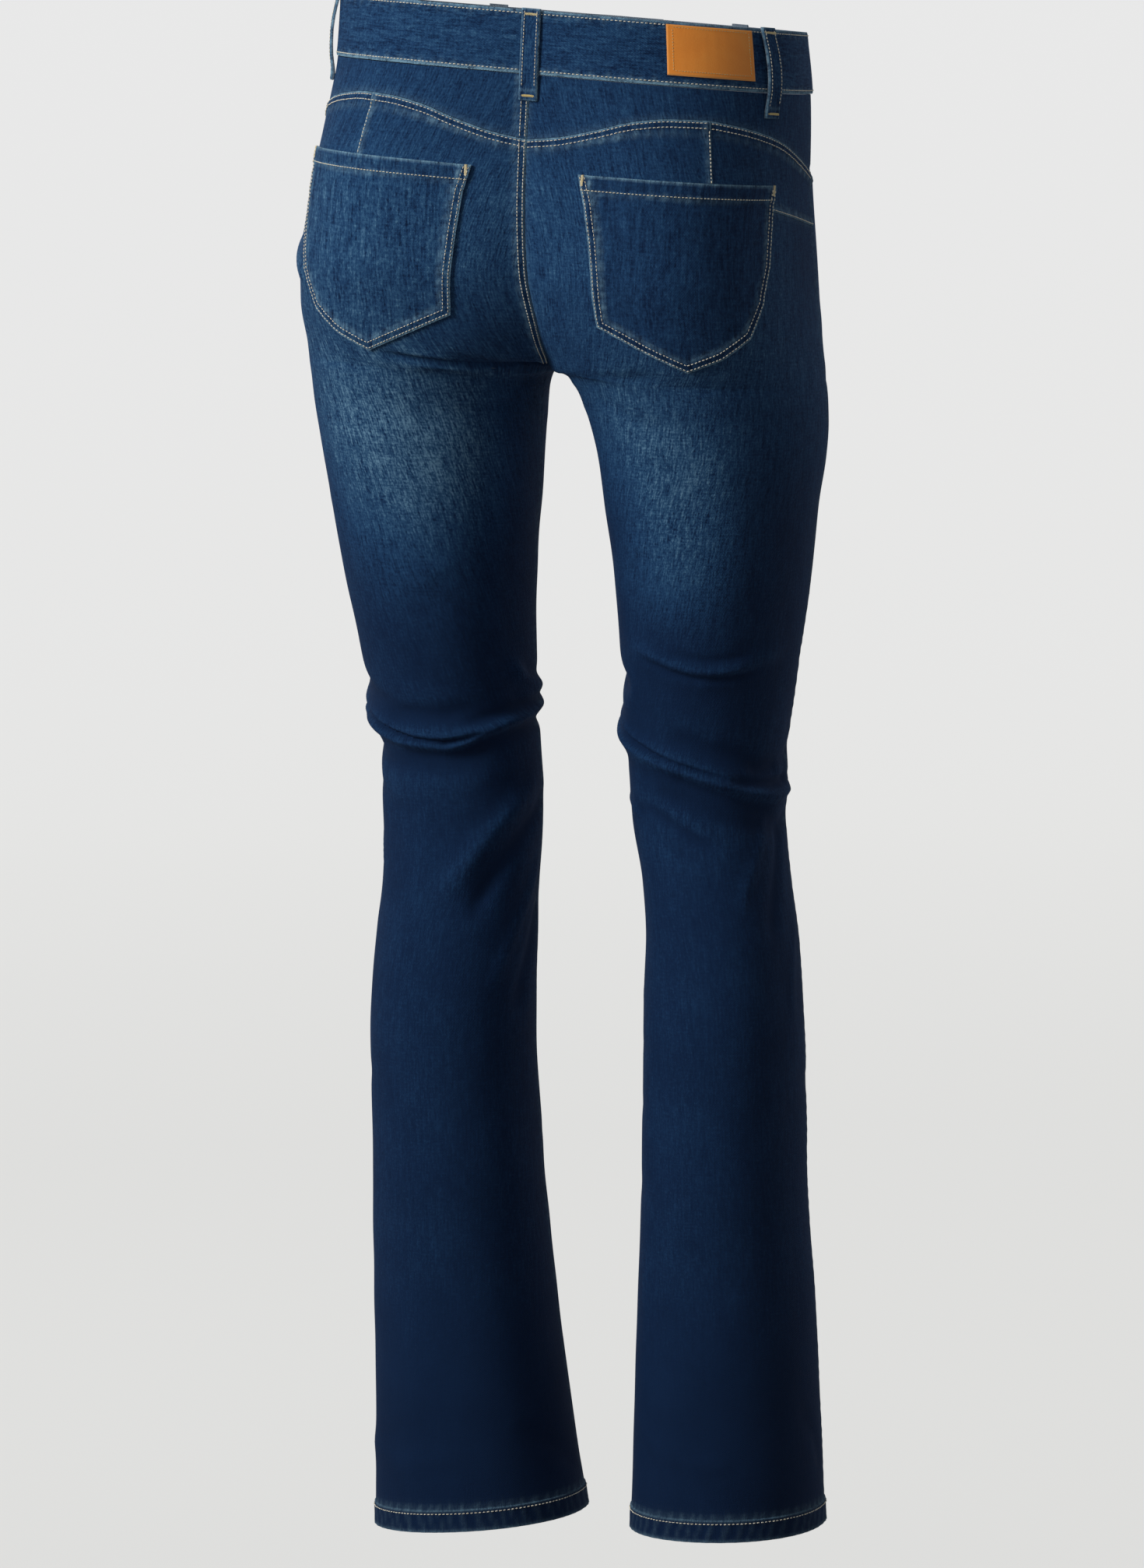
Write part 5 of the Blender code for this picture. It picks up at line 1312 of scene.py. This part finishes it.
class Thread:
    """Stitches gathered into one mesh."""

    def __init__(self, name):
        self.name, self.verts, self.faces, self.tone, self.count = name, [], [], [], 0
        self.draw = np.random.default_rng(len(name) * 7 + 3)

    def run(self, points, normals, pitch=2.9, length=2.05, width=0.66, tone=0.0, skip=0.0):
        """A row along the points, in mm for its sizes."""
        points, normals = np.asarray(points), np.asarray(normals)
        step = np.linalg.norm(np.diff(points, axis=0), axis=1)
        arc = np.concatenate([[0.0], np.cumsum(step)]) / MM
        middles = np.arange(pitch * 0.5 + skip, arc[-1] - pitch * 0.45, pitch)
        middles = middles + self.draw.normal(0, 0.05, len(middles))
        size = length * self.draw.uniform(0.93, 1.05, len(middles))

        def at(grid, where):
            return np.stack([np.interp(where, arc, grid[:, k]) for k in range(3)], axis=1)

        a, b = at(points, middles - size / 2), at(points, middles + size / 2)
        n = at(normals, middles)
        n /= np.linalg.norm(n, axis=1, keepdims=True)
        along = b - a
        reach = np.linalg.norm(along, axis=1, keepdims=True)
        t = along / np.maximum(reach, 1e-9)
        # Each stitch lies a few degrees off its row
        side = np.cross(n, t)
        skew = self.draw.normal(0.05, 0.03, len(middles))[:, None]
        t = t + side * skew
        t /= np.linalg.norm(t, axis=1, keepdims=True)
        side = np.cross(n, t)
        self.add(at(points, middles), t * reach, side, n, width, tone)

    def add(self, middle, along, side, n, width, tone=0.0):
        """Stitches round these middles: along is the way and length of each, n points out of the cloth."""
        half, high = 0.5 * width * MM, 0.62 * width * MM
        stitch = []
        for u, w, h in RINGS:
            for x, y in ROUND:
                rise = h * high * max(y, 0.0) + (min(h, 0.2) * high if y > 0 else -0.15 * MM)
                stitch.append(middle + along * u + side * (x * w * half) + n * rise)
        block = np.stack(stitch, axis=1)
        rings, per = len(RINGS), len(ROUND)
        faces = []
        for r in range(rings - 1):
            for k in range(per - 1):
                a = r * per + k
                faces.append((a, a + 1, a + per + 1, a + per))
            faces.append((r * per + per - 1, r * per, (r + 1) * per, (r + 1) * per + per - 1))
        ends = (tuple(range(per))[::-1], tuple(range((rings - 1) * per, rings * per)))
        for k in range(len(middle)):
            shift = self.count
            self.verts.append(block[k])
            self.faces += [tuple(i + shift for i in f) for f in faces]
            self.faces += [tuple(i + shift for i in f) for f in ends]
            self.tone.append(np.full(rings * per, tone + self.draw.uniform(-0.12, 0.12)))
            self.count += rings * per

    def bartack(self, middle, across_way, down_way, n, wide, tall, tone=0.5):
        """A block of close stitches: wide along across_way, tall along down_way, in mm."""
        count = int(round(wide / 0.42))
        u = (np.arange(count) / (count - 1) - 0.5) * wide * MM
        middles = middle + u[:, None] * across_way + n * 0.12 * MM
        middles = middles + down_way * self.draw.normal(0, 0.05, count)[:, None] * MM
        along = np.broadcast_to(down_way * tall * MM, middles.shape)
        side, normals = (np.broadcast_to(way, middles.shape) for way in (across_way, n))
        self.add(middles, along, side, normals, 0.52, tone)

    def finish(self, material):
        mesh = new_mesh(self.name, np.concatenate(self.verts).tolist(), self.faces)
        layer = mesh.attributes.new("tone", "FLOAT", "POINT")
        layer.data.foreach_set("value", np.concatenate(self.tone).astype(np.float32))
        mesh.materials.append(material)
        made = into_scene(self.name, mesh)
        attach(made, "root")


OVER = 0.10 * MM


def cloth_row(kind, side, v, z):
    """Points and normals of a stitch row on a panel."""
    v, z = np.broadcast_arrays(np.asarray(v, float), np.asarray(z, float))
    lift, _ = panel_look(kind, side, v, z)
    return place(side, v, z, lift + OVER), normal_at(side, v, z)


def sew_back(thread, side):
    # Two rows under the yoke seam
    back = WAIST_BACK[side]
    short = SHORT_SEAM[side]
    share = np.linspace(0.004 if side == "left" else 0.002, 0.995, 300)
    away = share * back
    for drop, width in ((0.17, 0.60), (0.50, 0.68)):
        z = YOKE_AT(away) - drop
        for name, use in (("back", share < short), ("insert", share >= short)):
            thread.run(*cloth_row(name, side, 2.0 - share[use], z[use]), width=width)
    # Centre back rows, on the wearer's left
    if side == "left":
        z = np.linspace(PANEL_TOP - 0.1, CROTCH + 0.35, 200)
        for d in (0.15, 0.5):
            v = 2.0 - d / lengths_at(side, z)[1]
            for name, use in (("yoke", z > YOKE_AT(d)), ("back", z <= YOKE_AT(d))):
                thread.run(*cloth_row(name, side, v[use], z[use]), pitch=2.4, length=1.9)
    # Short upright seam and the foot of the insert
    top = float(YOKE_AT(short * back)) - 0.6
    foot = float(INSERT_FOOT_AT(short * back))
    z = np.linspace(top, foot + 0.2, 60)
    v = 2.0 - short + 0.14 / lengths_at(side, z)[1]
    thread.run(*cloth_row("back", side, v, z), pitch=2.6, length=1.8)
    share = np.linspace(short + 0.006, 0.995, 160)
    z = INSERT_FOOT_AT(share * back) + 0.14
    thread.run(*cloth_row("insert", side, 2.0 - share, z), pitch=2.6, length=2.0)


def sew_pocket(thread, side):
    middle = np.array([0.0, -15.0])

    def inset(by):
        """The pocket's sides and foot, moved inward."""
        line = POCKET_SIDES
        found = []
        for k in range(len(line)):
            a = line[max(k - 1, 0)]
            b = line[min(k + 1, len(line) - 1)]
            steps = [w for w in (line[k] - a, b - line[k]) if w.any()]
            normals = []
            for w in (steps[0], steps[-1]):
                m = np.array([-w[1], w[0]]) / np.hypot(*w)
                normals.append(m if np.dot(m, middle - line[k]) > 0 else -m)
            n = normals[0] + normals[1]
            n = n / np.dot(n, n) * 2.0
            found.append(line[k] + n * by)
        found = np.array(found)
        found[0, 1] = found[-1, 1] = POCKET_MOUTH - 0.1
        step = arc_along(found)
        s = np.linspace(0.0, step[-1], 500)
        return np.interp(s, step, found[:, 0]), np.interp(s, step, found[:, 1])

    def row(p, z, **sizes):
        v = pocket_v(side, p, z)
        lift, _ = pocket_lift(p, z)
        thread.run(place(side, v, z, lift + OVER), normal_at(side, v, z), **sizes)

    for by in (0.155, 0.51):
        p, z = inset(by)
        row(p, z, pitch=2.6, length=1.85, width=0.6)
    p = np.linspace(-7.15, 7.35, 200)
    row(p, np.full(p.shape, -11.15), pitch=2.6, length=1.85, width=0.64, tone=0.12)
    # A bar at each end of the mouth
    for at in (-7.05, 7.25):
        p, z = np.array([at]), np.array([-10.55])
        v = pocket_v(side, p, z)
        n = normal_at(side, v, z)[0]
        lift = float(pocket_lift(p, z)[0][0])
        here = place(side, v, z, lift)[0]
        down = place(side, pocket_v(side, p, z - 0.3), z - 0.3, lift)[0] - here
        down /= np.linalg.norm(down)
        thread.bartack(here, down, np.cross(n, down), n, 7.0, 2.2)


def sew_band(thread):
    stations = band_stations()
    for z in (np.array([-0.24]), np.array([-3.93])):
        points, normals = [], []
        s = 0.0
        before = None
        for side, v, up in stations:
            here = place(side, v, BAND_READ)
            if before is not None:
                s += float(np.linalg.norm(here - before)) / CM
            before = here
            lift, _ = band_lift(s, z)
            points.append(band_point(side, v, z, BAND_PROUD + float(lift[0]) + up * BAND_OVER + OVER)[0])
            n = normal_at(side, v, z)[0]
            if v in (0.0, 2.0):
                n = n + normal_at("right" if side == "left" else "left", v, z)[0]
            normals.append(n / np.linalg.norm(n))
        thread.run(points, normals, width=0.68)


def sew_front(thread, side):
    # Pocket opening: two rows beside its edge
    z = np.linspace(PANEL_TOP - 0.15, OPENING_FOOT + 0.12, 160)
    front = lengths_at(side, z)[0]
    slope = np.gradient(opening(z) * front, z)
    lean = np.sqrt(1.0 + slope**2)
    for d in (0.2, 0.75):
        v = opening(z) - d * lean / front
        keep = v > 0.02
        thread.run(*cloth_row("front", side, v[keep], z[keep]))
    if side == "left":
        # Fly stitching: straight down, then round to the middle line
        z = np.concatenate([np.linspace(PANEL_TOP - 0.15, -13.0, 80), np.linspace(-13.1, -16.4, 60)])
        d = 3.4 * np.sqrt(np.clip(1.0 - (np.clip(-13.0 - z, 0, None) / 3.45) ** 2, 0.0, 1.0))
        for inset in (0.0, 0.6):
            dd = np.maximum(d - inset, 0.12)
            thread.run(*cloth_row("front", side, dd / lengths_at(side, z)[0], z + inset * 0.25))
        z = np.linspace(-16.6, CROTCH + 0.4, 60)
        for dd in (0.2, 0.7):
            thread.run(*cloth_row("front", side, dd / lengths_at(side, z)[0], z))


def sew_hem(thread, side):
    v = np.linspace(0.0, 2.0, 500)
    z = np.full(v.shape, HEM_TOP - 0.2)
    lift, _ = panel_look("back", side, v, z)
    thread.run(place(side, v, z, lift + OVER), normal_at(side, v, z), width=0.68)


def sew_loops(thread):
    for _, side, away, bow in LOOPS:
        heights = np.linspace(-0.05, -5.1, 60)
        for x in (-0.44, 0.44):
            _, outer, normals = loop_frame(side, away, bow, heights, np.array([x]))
            thread.run(outer[:, 0] + normals[:, 0] * OVER, normals[:, 0], pitch=2.4, length=1.85, width=0.58)
        for z, tone in ((-5.55, 0.85), (-0.28, 0.6)):
            _, outer, normals = loop_frame(side, away, bow, np.array([z, z - 0.1]), np.array([-0.05, 0.05]))
            n = normals[0, 0]
            way = outer[0, 1] - outer[0, 0]
            way /= np.linalg.norm(way)
            down = np.cross(way, n)
            thread.bartack(outer[0].mean(0) + n * 0.35 * MM, way, down, n, 11.0, 2.0, tone)


def sew_patch(thread):
    left, right, top, foot = PATCH_FROM + 0.4, PATCH_TO - 0.33, PATCH_TOP - 0.19, PATCH_FOOT + 0.3
    corners = ((left, top), (right, top), (right, foot), (left, foot), (left, top))
    for (x0, z0), (x1, z1) in zip(corners[:-1], corners[1:]):
        x, z = np.linspace(x0, x1, 60), np.linspace(z0, z1, 60)
        points = patch_point(x, z, PATCH_LOW + patch_lift(x, z)[0] + 0.04 * MM)
        normals = normal_at("right", 2.0 - x / float(lengths_at("right", BAND_READ)[1]), z)
        thread.run(points, normals, pitch=2.0, length=1.45, width=0.42, tone=0.8)


class Nodes:
    """Builds one material's nodes."""

    def __init__(self, name):
        self.material = bpy.data.materials.new(name)
        self.material.use_nodes = True
        self.tree = self.material.node_tree
        self.shader = self.tree.nodes["Principled BSDF"]

    def put(self, socket, value):
        if isinstance(value, bpy.types.NodeSocket):
            self.tree.links.new(value, socket)
        elif isinstance(value, tuple) and len(value) == 3 and len(socket.default_value) == 4:
            socket.default_value = (*value, 1.0)
        else:
            socket.default_value = value

    def attribute(self, name, output="Fac"):
        made = self.tree.nodes.new("ShaderNodeAttribute")
        made.attribute_name = name
        return made.outputs[output]

    def math(self, operation, a, b=0.0, c=0.0, clamp=False):
        made = self.tree.nodes.new("ShaderNodeMath")
        made.operation = operation
        made.use_clamp = clamp
        for socket, value in zip(made.inputs, (a, b, c)):
            self.put(socket, value)
        return made.outputs[0]

    def times(self, a, b, clamp=False):
        return self.math("MULTIPLY", a, b, clamp=clamp)

    def plus(self, a, b, clamp=False):
        return self.math("ADD", a, b, clamp=clamp)

    def scaled(self, value, by, add):
        return self.math("MULTIPLY_ADD", value, by, add)

    def split(self, vector):
        made = self.tree.nodes.new("ShaderNodeSeparateXYZ")
        self.put(made.inputs[0], vector)
        return made.outputs

    def object_place(self):
        return self.tree.nodes.new("ShaderNodeTexCoord").outputs["Object"]

    def combine(self, x, y, z):
        made = self.tree.nodes.new("ShaderNodeCombineXYZ")
        for socket, value in zip(made.inputs, (x, y, z)):
            self.put(socket, value)
        return made.outputs[0]

    def noise(self, vector, detail=2.0, rough=0.5, scale=1.0):
        made = self.tree.nodes.new("ShaderNodeTexNoise")
        self.put(made.inputs["Vector"], vector)
        made.inputs["Scale"].default_value = scale
        made.inputs["Detail"].default_value = detail
        made.inputs["Roughness"].default_value = rough
        return made.outputs["Fac"]

    def ramp(self, value, stops):
        made = self.tree.nodes.new("ShaderNodeValToRGB")
        self.put(made.inputs[0], value)
        ramp = made.color_ramp
        while len(ramp.elements) < len(stops):
            ramp.elements.new(0.5)
        for element, (at, colour) in zip(ramp.elements, stops):
            element.position = at
            element.color = (*colour, 1.0)
        return made.outputs[0]

    def mix(self, share, a, b):
        made = self.tree.nodes.new("ShaderNodeMix")
        made.data_type = "RGBA"
        made.clamp_factor = True
        self.put(made.inputs[0], share)
        self.put(made.inputs[6], a)
        self.put(made.inputs[7], b)
        return made.outputs[2]

    def bump(self, height, distance, strength=1.0):
        made = self.tree.nodes.new("ShaderNodeBump")
        made.inputs["Strength"].default_value = strength
        made.inputs["Distance"].default_value = distance
        self.put(made.inputs["Height"], height)
        self.put(self.shader.inputs["Normal"], made.outputs[0])

    def set(self, **values):
        for key, value in values.items():
            self.put(self.shader.inputs[key.replace("_", " ")], value)


# Indigo from its darkest to its palest
DENIM_STOPS = (
    (0.0, (0.0014, 0.006, 0.022)), (0.25, (0.0058, 0.022, 0.068)), (0.45, (0.016, 0.059, 0.15)),
    (0.62, (0.035, 0.105, 0.214)), (1.0, (0.16, 0.31, 0.46)),
)
TWILL_PITCH = 1.15
PALE_FLECK = (0.12, 0.26, 0.37)
WORN_EDGE = (0.23, 0.40, 0.52)
UNWORN_DYE = (0.006, 0.014, 0.036)


def denim(name, shift, fade_share=1.0):
    """Indigo twill: fine upright streaks, slubs, pale flecks, a wash that also carries painted light and
    shade, and worn edges.
    """
    n = Nodes(name)
    cloth = n.split(n.attribute("cloth", "Vector"))
    x, y = (n.times(cloth[k], 1.0 / MM) for k in (0, 1))
    seed = n.scaled(cloth[2], 97.0, 10.0 + shift)

    def weave(kx, ky, add, detail=2.0, rough=0.5):
        place_at = n.combine(n.times(x, kx), n.times(y, ky), n.plus(seed, add))
        return n.math("SUBTRACT", n.noise(place_at, detail, rough), 0.5)

    yarn = weave(0.80, 0.11, 0.0, 3.0, 0.6)
    slub = weave(0.30, 0.028, 5.0, 2.0)
    weft = weave(0.12, 0.80, 11.0, 2.0)
    speck = weave(0.75, 0.55, 17.0, 2.0, 0.6)
    cloud = weave(0.035, 0.022, 23.0, 3.0)
    slope = n.scaled(y, 0.62, x)
    twill = n.math("SINE", n.times(slope, 2 * math.pi / TWILL_PITCH))
    # The fade attribute holds the wash together with painted shade in the crease hollows, painted highlight
    # on crease ridges and painted shade on the right side insert and right back pocket
    fade = n.times(n.attribute("fade"), fade_share)
    # The wash shows through in streaks: the yarns that stand proud go pale first
    grain = n.times(yarn, 1.8)
    for part, strength in ((slub, 0.8), (speck, 1.4), (weft, 0.7)):
        grain = n.plus(grain, n.times(part, strength))
    t = n.scaled(grain, 0.10, 0.25)
    t = n.scaled(cloud, 0.13, t)
    t = n.scaled(twill, 0.015, t)
    lift = n.times(fade, n.scaled(grain, 0.9, 0.56))
    t = n.plus(t, lift, clamp=True)
    colour = n.ramp(t, DENIM_STOPS)
    fleck = n.times(n.math("SUBTRACT", speck, 0.13), 3.0, clamp=True)
    colour = n.mix(n.times(fleck, n.scaled(fade, 0.6, 0.10)), colour, PALE_FLECK)
    worn = n.scaled(grain, 1.1, 0.80)
    worn = n.times(n.attribute("wear"), worn, clamp=True)
    colour = n.mix(n.times(worn, 0.9), colour, WORN_EDGE)
    # Between the stitch rows the cloth keeps its dark dye
    dark = n.times(n.attribute("wear"), -3.0, clamp=True)
    colour = n.mix(dark, colour, UNWORN_DYE)
    # The back of the cloth shows the pale weft
    pale = n.ramp(n.scaled(n.plus(twill, n.times(grain, 2.0)), 0.2, 0.5), (
        (0.0, (0.05, 0.075, 0.12)), (1.0, (0.28, 0.33, 0.39))))
    colour = n.mix(n.attribute("inside"), colour, pale)
    n.set(Base_Color=colour, Roughness=0.95, Specular_IOR_Level=0.06)
    relief = n.plus(n.times(twill, 0.35), n.times(grain, 0.8))
    n.bump(relief, 0.00022, 0.7)
    return n.material


def thread_finish():
    n = Nodes("thread_finish")
    tone = n.attribute("tone")
    colour = n.ramp(n.plus(tone, 0.2, clamp=True), (
        (0.0, (0.86, 0.82, 0.72)), (0.4, (0.82, 0.74, 0.54)), (1.0, (0.66, 0.51, 0.21))))
    n.set(Base_Color=colour, Roughness=0.7, Specular_IOR_Level=0.25)
    n.bump(n.noise(n.object_place(), 2.0, 0.5, 4200.0), 0.0001, 0.5)
    return n.material


def leather_finish():
    n = Nodes("leather_finish")
    cloth = n.split(n.attribute("cloth", "Vector"))
    place_at = n.combine(cloth[0], cloth[1], 3.0)
    broad = n.noise(place_at, 3.0, 0.55, 45.0)
    fine = n.noise(place_at, 4.0, 0.6, 900.0)
    colour = n.ramp(n.scaled(fine, 0.35, n.times(broad, 0.65)), (
        (0.25, (0.94, 0.28, 0.024)), (0.5, (0.99, 0.32, 0.034)), (0.75, (1.0, 0.37, 0.050))))
    colour = n.mix(n.times(n.attribute("wear"), 0.5), colour, (0.92, 0.48, 0.16))
    colour = n.mix(n.times(n.attribute("inside"), 0.9), colour, (0.30, 0.14, 0.06))
    n.set(Base_Color=colour, Roughness=0.6, Specular_IOR_Level=0.2)
    n.bump(n.plus(n.times(fine, 0.7), broad), 0.00025, 0.6)
    return n.material


def metal_finish():
    n = Nodes("metal_finish")
    place_at = n.object_place()
    broad = n.noise(place_at, 3.0, 0.6, 500.0)
    fine = n.noise(place_at, 2.0, 0.5, 3000.0)
    colour = n.ramp(broad, ((0.3, (0.24, 0.17, 0.09)), (0.6, (0.50, 0.38, 0.21)), (0.8, (0.62, 0.50, 0.30))))
    n.set(Base_Color=colour, Metallic=1.0, Roughness=n.scaled(broad, 0.25, 0.25))
    n.bump(fine, 0.00008, 0.4)
    return n.material


def tape_finish():
    n = Nodes("tape_finish")
    cloth = n.split(n.attribute("cloth", "Vector"))
    rib = n.math("SINE", n.times(cloth[1], 2 * math.pi / 0.0008))
    row = n.math("SINE", n.times(cloth[0], 2 * math.pi / 0.0006))
    woven = n.times(rib, row)
    colour = n.ramp(n.scaled(woven, 0.3, 0.5), (
        (0.0, (0.012, 0.016, 0.035)), (1.0, (0.035, 0.045, 0.08))))
    n.set(Base_Color=colour, Roughness=0.8)
    n.bump(woven, 0.0002, 0.7)
    return n.material


def stage_finish(name):
    """Matt pale paint with a glow of its own, with painted shade that makes it a little deeper towards the
    middle of the floor.
    """
    n = Nodes(name)
    place_on = n.object_place()
    x, y, _ = n.split(place_on)
    square = n.scaled(x, x, n.times(y, y))
    far = n.times(n.math("SQRT", square), 1.0 / STAGE_RADIUS)
    faint = n.scaled(n.noise(place_on, 2.0, 0.5, 0.6), 0.04, far)
    # Painted shade: the glow dims towards the middle of the floor
    shade = n.ramp(faint, (
        (0.22, (0.685, 0.685, 0.672)), (0.72, (0.785, 0.785, 0.775)), (0.98, (0.815, 0.815, 0.815))))
    n.set(Base_Color=(0.08, 0.08, 0.08), Roughness=0.9, Specular_IOR_Level=0.0, Emission_Color=shade,
          Emission_Strength=0.985)
    return n.material


STAGE_FLOOR = -1.9
STAGE_RADIUS = 14.0
STAGE_CURVE = 4.0
STAGE_TOP = 12.0
VIEW_TURN = math.radians(17.0)
VIEW_DOWN = math.radians(7.48)
VIEW_FAR = 5.2
VIEW_UP = 0.153
FOCAL_PIXELS = 9761.0
LONG_SIDE = 2014.0
SENSOR = 36.0


def make_camera():
    data = bpy.data.cameras.new("camera")
    data.sensor_width = SENSOR
    data.lens = FOCAL_PIXELS / LONG_SIDE * SENSOR
    data.clip_end = 60.0
    camera = into_scene("camera", data)
    camera.location = (-VIEW_FAR * math.sin(VIEW_TURN), VIEW_FAR * math.cos(VIEW_TURN), VIEW_UP)
    camera.rotation_euler = (math.pi / 2 - VIEW_DOWN, 0.0, math.pi + VIEW_TURN)
    bpy.context.scene.camera = camera


def make_stage():
    """A round pale studio: a floor that curves up into a wall on every side."""
    flat = STAGE_RADIUS - STAGE_CURVE
    turns = np.linspace(0.0, 0.5 * math.pi, 20)
    profile = [(r, STAGE_FLOOR) for r in np.linspace(0.5, flat, 6)]
    for a in turns[1:]:
        profile.append((flat + STAGE_CURVE * math.sin(a), STAGE_FLOOR + STAGE_CURVE * (1 - math.cos(a))))
    profile.append((STAGE_RADIUS, STAGE_TOP))
    sides = 96
    verts = [(r * math.cos(a), r * math.sin(a), z) for r, z in profile
             for a in np.arange(sides) * 2 * math.pi / sides]
    faces = [tuple(range(sides))]
    for k in range(len(profile) - 1):
        for i in range(sides):
            j = (i + 1) % sides
            faces.append((k * sides + i, k * sides + j, (k + 1) * sides + j, (k + 1) * sides + i))
    mesh = new_mesh("studio", verts, faces)
    mesh.materials.append(stage_finish("studio_finish"))
    studio = into_scene("studio", mesh)
    # It is a backdrop only: the lamps light the object
    studio.visible_diffuse = False
    studio.visible_shadow = False


def area_light(name, place_at, aim, size, power, colour=(1.0, 1.0, 1.0), tall=None):
    """A lamp that faces the aim, square unless it has a height of its own."""
    data = bpy.data.lights.new(name, "AREA")
    data.energy = power
    data.color = colour
    data.size = size
    if tall:
        data.shape = "RECTANGLE"
        data.size_y = tall
    light = into_scene(name, data)
    light.location = place_at
    way = np.array(aim, float) - np.array(place_at, float)
    pan = math.atan2(way[0], -way[1])
    tilt = math.atan2(math.hypot(way[0], way[1]), -way[2])
    light.rotation_euler = (tilt, 0.0, pan + math.pi)


def make_lights():
    aim = (0.0, 0.0, -0.5)
    area_light("key", (2.75, 2.9, 1.3), aim, 1.3, 135.0, (1.0, 0.99, 0.97), 2.0)
    area_light("fill", (-1.9, 4.8, 0.7), aim, 2.4, 17.0, (0.97, 0.985, 1.0), 2.4)
    area_light("top", (0.3, 0.9, 3.0), aim, 1.8, 14.0)
    area_light("front", (2.6, -4.4, 1.2), aim, 2.0, 70.0, (0.97, 0.985, 1.0))
    area_light("front_fill", (-2.8, -4.2, 0.8), aim, 2.0, 26.0)
    world = bpy.data.worlds.new("surround")
    bpy.context.scene.world = world
    world.use_nodes = True
    sky = world.node_tree.nodes["Background"].inputs
    sky["Color"].default_value = (0.88, 0.93, 1.0, 1.0)
    sky["Strength"].default_value = 0.10


def sew(name, rows, finish, *where):
    """One piece of stitching, run by the function that knows its rows."""
    thread = Thread("stitches_" + name)
    rows(thread, *where)
    thread.finish(finish)


SIDE_ROWS = (("back_", sew_back), ("pocket_", sew_pocket), ("front_", sew_front), ("hem_", sew_hem))


def main():
    bpy.context.scene.view_settings.view_transform = "Standard"
    make_camera()
    make_stage()
    make_lights()
    cloth = denim("denim_finish", 0.0)
    dark = denim("denim_dark_finish", 4.0, 0.9)
    leather, metal, tape, thread_look = leather_finish(), metal_finish(), tape_finish(), thread_finish()
    for side in SIGN:
        make_back(side, cloth)
        make_front(side, cloth)
        make_facing(side, dark)
        make_pocket(side, dark)
    make_band(cloth)
    for name, side, away, bow in LOOPS:
        make_loop(name, side, away, bow, cloth)
    make_patch(leather)
    make_tape(tape)
    make_teeth(metal)
    for name in ("waist_button", "zip_slider"):
        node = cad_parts[name]
        node.data.materials.clear()
        node.data.materials.append(metal)
    for side in SIGN:
        for name, rows in SIDE_ROWS:
            sew(name + side, rows, thread_look, side)
    for name, rows in (("waistband", sew_band), ("belt_loops", sew_loops), ("patch", sew_patch)):
        sew(name, rows, thread_look)


main()
